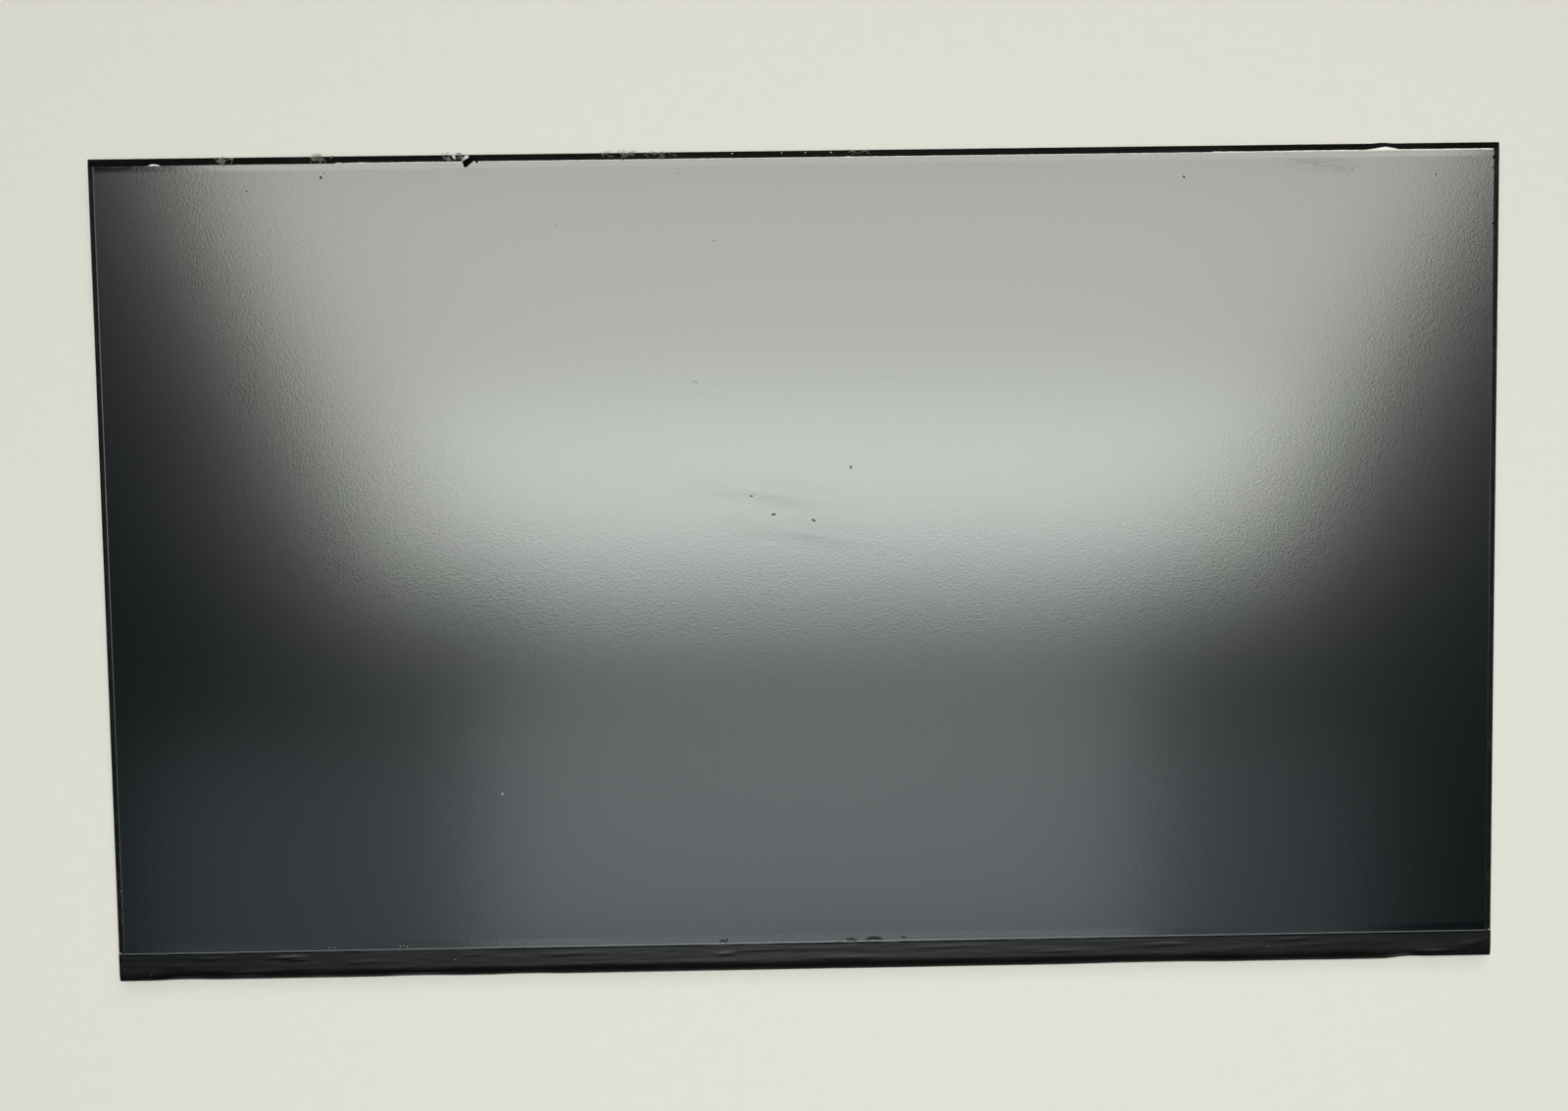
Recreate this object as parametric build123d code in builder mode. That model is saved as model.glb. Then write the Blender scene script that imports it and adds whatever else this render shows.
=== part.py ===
from build123d import *
import os
from math import cos, radians, sin, tan

# A slim 16:9 laptop screen panel: a glass cell on an edge-lit backlight, in a moulded frame and a
# formed metal back cover, with its drive board folded behind the bottom edge.
# Millimetres. X runs along the long edge, Y towards the top edge, Z out of the screen.
# The panel lies on its back. The origin is under the middle of its outline, at its lowest point.

# Picture area and the borders outside it
active_width = 344.16
active_height = 193.59
polariser_side_margin = 1.75
polariser_top_margin = 1.95
polariser_bottom_margin = 2.05
side_band = 1.50
top_band = 1.85
filter_border = 2.45
bond_ledge = 2.20
bend_margin = 0.28
glass_corner = 0.50

# Thickness of each layer, from the lowest point up
socket_height = 0.85
board_thickness = 0.40
board_tape_thickness = 0.05
cover_sheet = 0.20
reflector_thickness = 0.10
guide_thickness = 0.40
diffuser_thickness = 0.10
prism_thickness = 0.10
rim_tape_thickness = 0.06
rear_polariser_thickness = 0.12
array_glass_thickness = 0.25
filter_glass_thickness = 0.25
front_polariser_thickness = 0.17
edge_tape = 0.08
flex_film = 0.08

# Films that roll round the bottom edge: an easy bend in front, then a tighter one behind
roll_turn = 35
roll_ease = 6.0
film_gap = 0.05

# Moulded frame
frame_wall = 0.50
frame_bottom_wall = 0.60
frame_corner = 0.50
frame_edge = 0.16
window_margin = 0.57
window_bottom_margin = 0.80
glass_gap = 0.15
tape_fit = 0.02
roof_gap = 0.05
rib_width = 1.60
rib_gap = 0.02

# Back cover
flange_height = 0.80
flange_clearance = 0.05
cover_bend = 0.15
corner_relief = 1.20
emboss_depth = 0.15
emboss_slope = 45
emboss_side_inset = 10.0
emboss_end_inset = 2.50
latch_spacing = 45.0
latch_length = 5.0
latch_height = 0.30
latch_bite = 0.10
latch_clearance = 0.06

# Backlight sheets and light strip
sheet_clearance = 0.15
ear_length = 10.0
ear_depth = 0.90
ear_spacing = 110.0
ear_clearance = 0.20
guide_overrun = 2.00
rim_inner_margin = 0.17
rim_outer_gap = 0.20
rim_seat = 2.60
led_length = 3.80
led_depth = 0.85
led_pitch = 9.20
led_gap = 0.05
led_lens_inset = 0.30
led_lens_depth = 0.10
led_lens_rim = 0.08
strip_lap = 0.50
strip_end_gap = 0.50
tail_width = 8.0
tail_bend_room = 0.40
tail_bond = 2.50

# Drive electronics behind the bottom edge
source_count = 4
source_width = 36.0
source_bond = 1.90
board_bond = 2.00
driver_margin = 5.00
driver_width = 1.20
driver_height = 0.30
driver_offset = 0.40
board_width = 10.0
board_setback = 1.30
board_end = 8.0
board_corner = 0.80
board_hole = 1.50
board_hole_inset = 4.0
board_tape_inset = 0.70
chip_bevel = 0.06
part_row = 6.10
part_gap = 1.50
controller_size = 6.40
controller_height = 0.55
memory_length = 3.00
memory_width = 2.60
memory_height = 0.50
power_size = 4.40
backlight_size = 3.60
power_height = 0.55
tall_part_height = 0.60
coil_size = 3.20
coil_corner = 0.50
capacitor_length = 1.60
capacitor_width = 0.80
capacitor_height = 0.50
capacitor_cap = 0.35
capacitor_rim = 0.02
resistor_length = 1.00
resistor_width = 0.50
resistor_height = 0.30
bank_columns = 3
bank_rows = 2

# Video socket on the board, with its mouth towards the bottom edge
socket_width = 20.0
socket_depth = 4.20
socket_setback = 2.60
mouth_width = 16.4
mouth_depth = 2.60
mouth_lip = 0.18
shell_sheet = 0.10
shell_bend = 0.05
shell_setback = 0.40
shell_windows = 3
shell_window_width = 2.40
shell_window_depth = 1.40
shell_window_pitch = 5.20
contact_count = 30
contact_pitch = 0.50
contact_width = 0.20
contact_height = 0.12
contact_tail = 0.70
contact_recess = 0.30

# Tapes and the film over the board
tape_rear_lap = 3.50
tape_bend = 0.12
tape_clearance = 0.05
bottom_tape_end = 4.40
film_height = 0.08
film_lap = 2.00
film_ramp = 1.60
film_room = 0.03
film_pad = 3.00
film_end = 5.0
film_bend = 0.40
plug_clearance = 1.50

# Tears in the inner edge of the top tape: place along X, length and depth of each
tears = (
    (-159.0, 4.0, 0.35),
    (-110.5, 9.0, 0.20),
    (-81.5, 1.6, 0.90),
    (16.5, 2.6, 0.30),
    (104.0, 1.8, 0.30),
    (145.6, 9.5, 1.00),
)

# Levels in Z
board_rear = socket_height
board_front = board_rear + board_thickness
cover_rear = board_front + board_tape_thickness
cover_front = cover_rear + cover_sheet
guide_rear = cover_front + reflector_thickness
guide_front = guide_rear + guide_thickness
lower_prism_level = guide_front + diffuser_thickness
upper_prism_level = lower_prism_level + prism_thickness
seat_level = upper_prism_level + prism_thickness
rear_polariser_level = seat_level + rim_tape_thickness
array_level = rear_polariser_level + rear_polariser_thickness
filter_level = array_level + array_glass_thickness
glass_front = filter_level + filter_glass_thickness
step_level = cover_rear + flange_height + flange_clearance
roof_level = guide_front + roof_gap
tape_rear_level = board_rear - flex_film - film_gap
film_seat_level = tape_rear_level - edge_tape
film_level = board_rear - tall_part_height - film_room


def roll_radii(drop):
    """Front and rear radius of a film that bends easily at first and then more tightly."""
    turn = radians(roll_turn)
    rear = drop / (1 + cos(turn) + roll_ease * (1 - cos(turn)))
    return roll_ease * rear, rear


def roll_depth(drop):
    """How far such a bend reaches out from the point where it starts."""
    front, rear = roll_radii(drop)
    turn = radians(roll_turn)
    return front * sin(turn) + rear * (1 - sin(turn))


def roll_end(drop, reach):
    """Where such a bend comes back flat, if it reaches out as far as the given Y."""
    rear = roll_radii(drop)[1]
    return reach + rear


# Outline and the edges inside it, in X and Y
flex_drop = filter_level - board_rear
flex_room = edge_tape + film_gap + flex_film + roll_depth(flex_drop) + bend_margin
bottom_band = filter_border + bond_ledge + flex_room
outline_width = active_width + 2 * (polariser_side_margin + side_band)
outline_height = active_height + polariser_top_margin + polariser_bottom_margin + top_band + bottom_band
half_width = outline_width / 2
top = outline_height / 2
bottom = -top
polariser_half = half_width - side_band
polariser_top = top - top_band
polariser_bottom = bottom + bottom_band
active_half = active_width / 2
active_top = polariser_top - polariser_top_margin
active_bottom = polariser_bottom + polariser_bottom_margin
flange_step = cover_sheet + flange_clearance
frame_half = half_width - edge_tape - tape_fit
frame_top = top - edge_tape - tape_fit
frame_bottom = bottom + flex_room
glass_half = frame_half - frame_wall - glass_gap
glass_top = frame_top - frame_wall - glass_gap
filter_bottom = frame_bottom + bond_ledge
window_half = active_half + window_margin
window_top = active_top + window_margin
window_bottom = active_bottom - window_bottom_margin
sheet_half = window_half - sheet_clearance
sheet_top = window_top - sheet_clearance
sheet_bottom = window_bottom + sheet_clearance
guide_bottom = active_bottom - guide_overrun
strip_bottom = frame_bottom + frame_bottom_wall + sheet_clearance
strip_top = guide_bottom + strip_lap
board_bottom = frame_bottom + board_setback
board_top = board_bottom + board_width
source_pitch = active_width / source_count
board_half = source_pitch * (source_count - 1) / 2 + source_width / 2 + board_end
flex_reach = bottom + edge_tape + film_gap + flex_film
tape_reach = bottom + edge_tape
socket_x = -source_pitch
tail_x = source_pitch
socket_bottom = board_bottom + socket_setback
socket_mid = socket_bottom + socket_depth / 2
film_foot = bottom + bottom_tape_end
film_top = board_top + film_ramp + film_room
emboss_half = frame_half - emboss_side_inset
emboss_bottom = film_top + film_pad + emboss_end_inset
emboss_top = top - tape_rear_lap - emboss_end_inset
latch_level = (cover_front + step_level) / 2
side_latches = int((frame_top - frame_bottom) // latch_spacing)
top_latches = int(2 * frame_half // latch_spacing)

os.makedirs("parts", exist_ok=True)


def write(piece, name):
    """Label a finished piece and write it to its own file."""
    piece.part.label = name
    export_step(piece.part, f"parts/{name}.step")


def panel_rectangle(half, low, high, corner=0.0, mode=Mode.ADD):
    """A rectangle of the current sketch, centred on X between two heights in Y."""
    with Locations((0, (low + high) / 2)):
        if corner > 0:
            RectangleRounded(2 * half, high - low, corner, mode=mode)
        else:
            Rectangle(2 * half, high - low, mode=mode)


def flat_sheet(half, low, high, level, thickness, corner=0.0):
    """A flat sheet that lies at the given level."""
    with BuildPart() as sheet:
        with BuildSketch(Plane.XY.offset(level)):
            panel_rectangle(half, low, high, corner)
        extrude(amount=thickness)
    return sheet


def glass_sheet(low, level, thickness):
    """One glass of the cell, broken out of its mother sheet and cut off at the corners."""
    with BuildPart() as sheet:
        with BuildSketch(Plane.XY.offset(level)) as outline:
            panel_rectangle(glass_half, low, glass_top)
            chamfer(outline.vertices(), glass_corner)
        extrude(amount=thickness)
    return sheet


def eared_sheet(level, thickness):
    """An optical sheet with two ears on each side, which sit in pockets of the frame."""
    with BuildPart() as sheet:
        with BuildSketch(Plane.XY.offset(level)):
            panel_rectangle(sheet_half, sheet_bottom, sheet_top)
            with GridLocations(2 * sheet_half, ear_spacing, 2, 2):
                Rectangle(2 * ear_depth, ear_length)
        extrude(amount=thickness)
    return sheet


def roll_line(front_start, front_level, rear_level, reach, rear_end):
    """Inner side of a film in the YZ plane: flat in front, rolled round the edge, flat behind."""
    drop = front_level - rear_level
    front_radius, rear_radius = roll_radii(drop)
    bend_start = (reach + roll_depth(drop), front_level)
    Line((front_start, front_level), bend_start)
    easy_bend = JernArc(bend_start, (-1, 0), front_radius, roll_turn)
    tight_bend = JernArc(easy_bend @ 1, easy_bend % 1, rear_radius, 180 - roll_turn)
    Line(tight_bend @ 1, (rear_end, rear_level))


def chip(x, y, length, width, height):
    """A chip package on the rear face of the board, bevelled round its outer face."""
    with BuildPart() as package:
        with Locations((x, y, board_rear)):
            Box(length, width, height, align=(Align.CENTER, Align.CENTER, Align.MAX))
        chamfer(package.faces().sort_by(Axis.Z)[0].edges(), chip_bevel)
    return package


# Glass cell
front_polariser = flat_sheet(
    polariser_half, polariser_bottom, polariser_top, glass_front, front_polariser_thickness, frame_corner
)
write(front_polariser, "front_polariser")

colour_filter_glass = glass_sheet(filter_bottom, filter_level, filter_glass_thickness)
write(colour_filter_glass, "colour_filter_glass")

array_glass = glass_sheet(frame_bottom, array_level, array_glass_thickness)
write(array_glass, "array_glass")

rear_polariser = flat_sheet(
    polariser_half, polariser_bottom, polariser_top, rear_polariser_level,
    rear_polariser_thickness, frame_corner,
)
write(rear_polariser, "rear_polariser")

with BuildPart() as rim_tape:
    with BuildSketch(Plane.XY.offset(seat_level)):
        panel_rectangle(
            glass_half - rim_outer_gap, window_bottom - rim_seat, glass_top - rim_outer_gap, frame_corner
        )
        panel_rectangle(
            active_half + rim_inner_margin, active_bottom - rim_inner_margin,
            active_top + rim_inner_margin, mode=Mode.SUBTRACT,
        )
    extrude(amount=rim_tape_thickness)
write(rim_tape, "rim_tape")

# Moulded frame: a stepped ring, a wall round the glass and a roof over the light strip
with BuildPart() as mould_frame:
    with BuildSketch(Plane.XY.offset(cover_front)):
        panel_rectangle(frame_half - flange_step, frame_bottom, frame_top - flange_step, frame_corner)
    extrude(amount=step_level - cover_front)
    with BuildSketch(Plane.XY.offset(step_level)):
        panel_rectangle(frame_half, frame_bottom, frame_top, frame_corner)
    extrude(amount=glass_front - step_level)
    fillet(mould_frame.faces().sort_by(Axis.Z)[-1].edges(), frame_edge)
    with BuildSketch(Plane.XY.offset(seat_level)):
        panel_rectangle(frame_half - frame_wall, frame_bottom - frame_wall, frame_top - frame_wall)
    extrude(amount=glass_front - seat_level, mode=Mode.SUBTRACT)
    with BuildSketch(Plane.XY.offset(cover_front)):
        panel_rectangle(window_half, window_bottom, window_top)
    extrude(amount=seat_level - cover_front, mode=Mode.SUBTRACT)
    with BuildSketch(Plane.XY.offset(seat_level)):
        panel_rectangle(window_half, frame_bottom, frame_bottom + rib_width)
    extrude(amount=array_level - rib_gap - seat_level)
    with BuildSketch(Plane.XY.offset(cover_front)):
        panel_rectangle(window_half, frame_bottom + frame_bottom_wall, window_bottom + sheet_clearance)
    extrude(amount=roof_level - cover_front, mode=Mode.SUBTRACT)
    with BuildSketch(Plane.XY.offset(cover_front)):
        with Locations((tail_x, frame_bottom)):
            Rectangle(tail_width + 2 * ear_clearance, 2 * (frame_bottom_wall + sheet_clearance))
    extrude(amount=reflector_thickness + roof_gap, mode=Mode.SUBTRACT)
    with BuildSketch(Plane.XY.offset(guide_front)):
        with GridLocations(2 * window_half, ear_spacing, 2, 2):
            Rectangle(2 * ear_depth, ear_length + 2 * ear_clearance)
    extrude(amount=seat_level - guide_front, mode=Mode.SUBTRACT)
    with Locations((0, (frame_bottom + frame_top) / 2, latch_level)):
        with GridLocations(2 * (frame_half - flange_step), latch_spacing, 2, side_latches):
            Box(
                2 * (flange_clearance + latch_bite), latch_length - 2 * latch_clearance,
                latch_height - 2 * latch_clearance,
            )
    with Locations((0, frame_top - flange_step, latch_level)):
        with GridLocations(latch_spacing, 1, top_latches, 1):
            Box(
                latch_length - 2 * latch_clearance, 2 * (flange_clearance + latch_bite),
                latch_height - 2 * latch_clearance,
            )
write(mould_frame, "mould_frame")

# Back cover: a shallow tray of sheet metal, open at the bottom edge, with latch windows and an emboss
with BuildPart() as back_cover:
    with BuildSketch(Plane.XY.offset(cover_rear)):
        panel_rectangle(frame_half, frame_bottom, frame_top, frame_corner)
    extrude(amount=flange_height)
    outer_bends = back_cover.faces().sort_by(Axis.Z)[0].edges().sort_by(Axis.Y)[1:]
    fillet(outer_bends, cover_bend)
    with BuildSketch(Plane.XY.offset(cover_front)):
        panel_rectangle(
            frame_half - cover_sheet, frame_bottom - cover_sheet, frame_top - cover_sheet,
            frame_corner - cover_sheet,
        )
    extrude(amount=flange_height, mode=Mode.SUBTRACT)
    with BuildSketch(Plane.XY.offset(cover_front)):
        with Locations((-frame_half, frame_top), (frame_half, frame_top)):
            Rectangle(2 * corner_relief, 2 * corner_relief)
    extrude(amount=flange_height, mode=Mode.SUBTRACT)
    with Locations((0, (frame_bottom + frame_top) / 2, latch_level)):
        with GridLocations(2 * frame_half, latch_spacing, 2, side_latches):
            Box(4 * cover_sheet, latch_length, latch_height, mode=Mode.SUBTRACT)
    with Locations((0, frame_top, latch_level)):
        with GridLocations(latch_spacing, 1, top_latches, 1):
            Box(latch_length, 4 * cover_sheet, latch_height, mode=Mode.SUBTRACT)
    with BuildSketch(Plane.XY.offset(cover_rear)):
        panel_rectangle(emboss_half, emboss_bottom, emboss_top, emboss_end_inset)
    extrude(amount=-emboss_depth, taper=emboss_slope)
    recess_inset = cover_sheet * tan(radians(emboss_slope / 2))
    with BuildSketch(Plane.XY.offset(cover_front)):
        panel_rectangle(
            emboss_half - recess_inset, emboss_bottom + recess_inset, emboss_top - recess_inset,
            emboss_end_inset - recess_inset,
        )
    extrude(amount=-emboss_depth, taper=emboss_slope, mode=Mode.SUBTRACT)
write(back_cover, "back_cover")

# Backlight
reflector_sheet = flat_sheet(
    sheet_half, strip_top + sheet_clearance, sheet_top, cover_front, reflector_thickness
)
write(reflector_sheet, "reflector_sheet")

light_guide = flat_sheet(sheet_half, guide_bottom, sheet_top, guide_rear, guide_thickness)
write(light_guide, "light_guide")

lower_diffuser = eared_sheet(guide_front, diffuser_thickness)
write(lower_diffuser, "lower_diffuser")

lower_prism_sheet = eared_sheet(lower_prism_level, prism_thickness)
write(lower_prism_sheet, "lower_prism_sheet")

upper_prism_sheet = eared_sheet(upper_prism_level, prism_thickness)
write(upper_prism_sheet, "upper_prism_sheet")

with BuildPart() as light_strip_flex:
    with BuildSketch(Plane.XY.offset(cover_front)):
        panel_rectangle(window_half - strip_end_gap, strip_bottom, strip_top)
    extrude(amount=reflector_thickness)
    with BuildSketch(Plane.YZ.offset(tail_x)):
        with BuildLine():
            tail_start = (frame_bottom - tail_bend_room, cover_front)
            Line((strip_bottom + strip_lap, cover_front), tail_start)
            tail_turn = JernArc(tail_start, (-1, 0), (cover_front - board_rear) / 2, 180)
            Line(tail_turn @ 1, (board_bottom + tail_bond, board_rear))
            offset(amount=reflector_thickness, side=Side.RIGHT)
        make_face()
    extrude(amount=tail_width / 2, both=True)
write(light_strip_flex, "light_strip_flex")

led_count = int((2 * sheet_half - led_length) // led_pitch) + 1
with BuildPart() as light_emitters:
    with Locations((0, guide_bottom - led_gap, guide_rear)):
        with GridLocations(led_pitch, 1, led_count, 1):
            Box(led_length, led_depth, guide_thickness, align=(Align.CENTER, Align.MAX, Align.MIN))
    with Locations((0, guide_bottom - led_gap, guide_rear + guide_thickness / 2)):
        with GridLocations(led_pitch, 1, led_count, 1):
            Box(
                led_length - 2 * led_lens_inset, 2 * led_lens_depth,
                guide_thickness - 2 * led_lens_rim, mode=Mode.SUBTRACT,
            )
write(light_emitters, "light_emitters")

# Driver films from the ledge of the array glass to the rear face of the board, each with its chip
driver_mid = roll_end(flex_drop, flex_reach) + driver_offset + driver_width / 2
for number in range(source_count):
    source_x = (number - (source_count - 1) / 2) * source_pitch
    with BuildPart() as source_flex:
        with BuildSketch(Plane.YZ.offset(source_x)):
            with BuildLine():
                roll_line(
                    frame_bottom + source_bond, filter_level, board_rear, flex_reach,
                    board_bottom + board_bond,
                )
                offset(amount=flex_film, side=Side.RIGHT)
            make_face()
        extrude(amount=source_width / 2, both=True)
    write(source_flex, f"source_flex_{number + 1}")
    with BuildPart() as source_driver:
        with Locations((source_x, driver_mid, board_rear)):
            Box(
                source_width - 2 * driver_margin, driver_width, driver_height,
                align=(Align.CENTER, Align.CENTER, Align.MIN),
            )
    write(source_driver, f"source_driver_{number + 1}")

# Control board and its tape
with BuildPart() as control_board:
    with BuildSketch(Plane.XY.offset(board_rear)):
        panel_rectangle(board_half, board_bottom, board_top, board_corner)
        with Locations(
            (-board_half + board_hole_inset, board_top - board_hole_inset / 2),
            (board_half - board_hole_inset, board_top - board_hole_inset / 2),
        ):
            Circle(board_hole / 2, mode=Mode.SUBTRACT)
    extrude(amount=board_thickness)
write(control_board, "control_board")

board_tape = flat_sheet(
    board_half - board_hole_inset - board_hole, board_bottom + board_tape_inset,
    board_top - board_tape_inset, board_front, board_tape_thickness,
)
write(board_tape, "board_tape")

# Parts on the rear face of the board, along one row: the controller with its memory and power parts
# in the middle, the backlight parts beside the light strip's tail
row_y = board_bottom + part_row
capacitor_pitch = 2 * capacitor_length
resistor_pitch = 2 * resistor_length
capacitor_half = ((bank_columns - 1) * capacitor_pitch + capacitor_length) / 2
resistor_half = ((bank_columns - 1) * resistor_pitch + resistor_length) / 2
memory_x = -(controller_size + memory_length) / 2 - part_gap
left_resistors_x = memory_x - memory_length / 2 - part_gap - resistor_half
left_capacitors_x = left_resistors_x - resistor_half - part_gap - capacitor_half
capacitors_x = controller_size / 2 + part_gap + capacitor_half
resistors_x = capacitors_x + capacitor_half + part_gap + resistor_half
power_x = resistors_x + resistor_half + part_gap + power_size / 2
power_coil_x = power_x + (power_size + coil_size) / 2 + part_gap
backlight_x = tail_x - tail_width
backlight_coil_x = backlight_x - (backlight_size + coil_size) / 2 - part_gap
backlight_capacitors_x = backlight_coil_x - coil_size / 2 - part_gap - capacitor_half
end_x = source_pitch * (source_count - 1) / 2
on_board = (Align.CENTER, Align.CENTER, Align.MAX)

timing_controller = chip(0, row_y, controller_size, controller_size, controller_height)
write(timing_controller, "timing_controller")

memory_chip = chip(memory_x, row_y, memory_length, memory_width, memory_height)
write(memory_chip, "memory_chip")

power_chip = chip(power_x, row_y, power_size, power_size, power_height)
write(power_chip, "power_chip")

backlight_driver = chip(backlight_x, row_y, backlight_size, backlight_size, power_height)
write(backlight_driver, "backlight_driver")

with BuildPart() as inductors:
    with BuildSketch(Plane.XY.offset(board_rear - tall_part_height)) as coils:
        with Locations((power_coil_x, row_y), (backlight_coil_x, row_y)):
            Rectangle(coil_size, coil_size)
        chamfer(coils.vertices(), coil_corner)
    extrude(amount=tall_part_height)
    chamfer(inductors.faces().group_by(Axis.Z)[0].edges(), chip_bevel)
write(inductors, "inductors")

with BuildPart() as chip_capacitors:
    with Locations(
        (-end_x, row_y, board_rear), (left_capacitors_x, row_y, board_rear),
        (capacitors_x, row_y, board_rear), (backlight_capacitors_x, row_y, board_rear),
    ):
        with GridLocations(capacitor_pitch, 3 * capacitor_width, bank_columns, bank_rows):
            Box(
                capacitor_length, capacitor_width, capacitor_height - capacitor_rim, align=on_board
            )
            with GridLocations(capacitor_length - capacitor_cap, 1, 2, 1):
                Box(
                    capacitor_cap, capacitor_width + 2 * capacitor_rim, capacitor_height, align=on_board
                )
write(chip_capacitors, "chip_capacitors")

with BuildPart() as chip_resistors:
    with Locations(
        (left_resistors_x, row_y, board_rear), (resistors_x, row_y, board_rear),
        (tail_x + tail_width, row_y, board_rear), (end_x, row_y, board_rear),
    ):
        with GridLocations(resistor_pitch, 3 * resistor_width, bank_columns, bank_rows):
            Box(resistor_length, resistor_width, resistor_height, align=on_board)
write(chip_resistors, "chip_resistors")

# Video socket: moulded body with a slot, contacts in grooves on the board and a folded shell behind
contact_level = board_rear - contact_height
with BuildPart() as video_socket_housing:
    with Locations((socket_x, socket_mid, board_rear)):
        Box(
            socket_width - 2 * shell_sheet, socket_depth, socket_height - shell_sheet, align=on_board
        )
    fillet(video_socket_housing.edges().filter_by(Axis.Y).group_by(Axis.Z)[0], shell_sheet + shell_bend)
    with Locations((socket_x, socket_bottom, contact_level)):
        Box(
            mouth_width, 2 * mouth_depth, contact_level - shell_sheet - mouth_lip, align=on_board,
            mode=Mode.SUBTRACT,
        )
    with Locations((socket_x, socket_mid, board_rear)):
        with GridLocations(contact_pitch, 1, contact_count, 1):
            Box(
                contact_width, 2 * socket_depth, contact_height, align=on_board, mode=Mode.SUBTRACT
            )
write(video_socket_housing, "video_socket_housing")

with BuildPart() as video_socket_contacts:
    with BuildSketch(Plane.XY.offset(contact_level)):
        with Locations((socket_x, socket_mid + (contact_recess + contact_tail) / 2)):
            with GridLocations(contact_pitch, 1, contact_count, 1):
                Rectangle(contact_width, socket_depth - contact_recess + contact_tail)
    extrude(amount=contact_height)
write(video_socket_contacts, "video_socket_contacts")

shell_depth = socket_depth - shell_setback
with BuildPart() as video_socket_shell:
    with BuildSketch(Plane.XZ.offset(-socket_mid)):
        with BuildLine():
            FilletPolyline(
                (socket_x - socket_width / 2, board_rear),
                (socket_x - socket_width / 2, 0),
                (socket_x + socket_width / 2, 0),
                (socket_x + socket_width / 2, board_rear),
                radius=shell_sheet + shell_bend,
            )
            offset(amount=shell_sheet, side=Side.LEFT)
        make_face()
    extrude(amount=shell_depth / 2, both=True)
    with Locations((socket_x, socket_mid, 0)):
        with GridLocations(shell_window_pitch, 1, shell_windows, 1):
            Box(shell_window_width, shell_window_depth, 4 * shell_sheet, mode=Mode.SUBTRACT)
write(video_socket_shell, "video_socket_shell")

# Edge tapes: each folds from the glass over the side of the frame to the rear of the cover
with BuildPart() as top_edge_tape:
    with BuildSketch(Plane.YZ):
        with BuildLine():
            FilletPolyline(
                (polariser_top + tape_clearance, glass_front),
                (top - edge_tape, glass_front),
                (top - edge_tape, cover_rear),
                (top - tape_rear_lap, cover_rear),
                radius=tape_bend,
            )
            offset(amount=edge_tape, side=Side.LEFT)
        make_face()
    extrude(amount=half_width - edge_tape - tape_clearance, both=True)
    with BuildSketch(Plane.XY.offset(glass_front)):
        for tear_x, tear_length, tear_depth in tears:
            with Locations((tear_x, polariser_top + tape_clearance)):
                Ellipse(tear_length / 2, tear_depth)
    extrude(amount=2 * edge_tape, mode=Mode.SUBTRACT)
write(top_edge_tape, "top_edge_tape")

side_tape_mid = (frame_bottom + top) / 2
with BuildPart() as right_edge_tape:
    with BuildSketch(Plane.XZ.offset(-side_tape_mid)):
        with BuildLine():
            FilletPolyline(
                (polariser_half + tape_clearance, glass_front),
                (half_width - edge_tape, glass_front),
                (half_width - edge_tape, cover_rear),
                (half_width - tape_rear_lap, cover_rear),
                radius=tape_bend,
            )
            offset(amount=edge_tape, side=Side.LEFT)
        make_face()
    extrude(amount=(top - frame_bottom) / 2, both=True)
    with BuildSketch(Plane.XY.offset(glass_front - tape_bend)):
        panel_rectangle(half_width - edge_tape, polariser_top, top + edge_tape)
        panel_rectangle(half_width + edge_tape, frame_bottom - edge_tape, polariser_bottom)
    extrude(amount=2 * tape_bend + edge_tape, mode=Mode.SUBTRACT)
    with BuildSketch(Plane.XY.offset(cover_rear - edge_tape)):
        panel_rectangle(half_width - edge_tape, top - tape_rear_lap - tape_clearance, top + edge_tape)
    extrude(amount=edge_tape + tape_bend, mode=Mode.SUBTRACT)
write(right_edge_tape, "right_edge_tape")

with BuildPart() as left_edge_tape:
    mirror(right_edge_tape.part, about=Plane.YZ)
write(left_edge_tape, "left_edge_tape")

plug_half = socket_width / 2 + plug_clearance
with BuildPart() as bottom_cover_tape:
    with BuildSketch(Plane.YZ):
        with BuildLine():
            roll_line(
                polariser_bottom - tape_clearance, glass_front, tape_rear_level, tape_reach,
                bottom + bottom_tape_end,
            )
            offset(amount=edge_tape, side=Side.RIGHT)
        make_face()
    extrude(amount=half_width, both=True)
    with Locations((socket_x, film_foot, tape_rear_level)):
        Box(2 * plug_half, 2 * film_lap, 4 * edge_tape, mode=Mode.SUBTRACT)
write(bottom_cover_tape, "bottom_cover_tape")

# Film over the board: it starts on the bottom tape, passes over the parts and ends on the back cover
with BuildPart() as board_cover_film:
    with BuildSketch(Plane.YZ):
        with BuildLine():
            FilletPolyline(
                (film_foot - film_lap, film_seat_level),
                (film_foot + film_room, film_seat_level),
                (film_foot + film_ramp, film_level),
                (board_top + film_room, film_level),
                (film_top, cover_rear),
                (film_top + film_pad, cover_rear),
                radius=film_bend,
            )
            offset(amount=film_height, side=Side.RIGHT)
        make_face()
    extrude(amount=board_half + film_end, both=True)
    with BuildSketch(Plane.XY.offset(film_level - film_height)):
        with Locations((socket_x, film_foot - film_lap)):
            Rectangle(
                2 * plug_half,
                2 * (socket_bottom + socket_depth + plug_clearance - film_foot + film_lap),
            )
    extrude(amount=cover_rear, mode=Mode.SUBTRACT)
write(board_cover_film, "board_cover_film")
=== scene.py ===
import random
from math import cos, pi, radians, sin

import bmesh
import bpy
from mathutils import Matrix, Vector, noise


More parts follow.
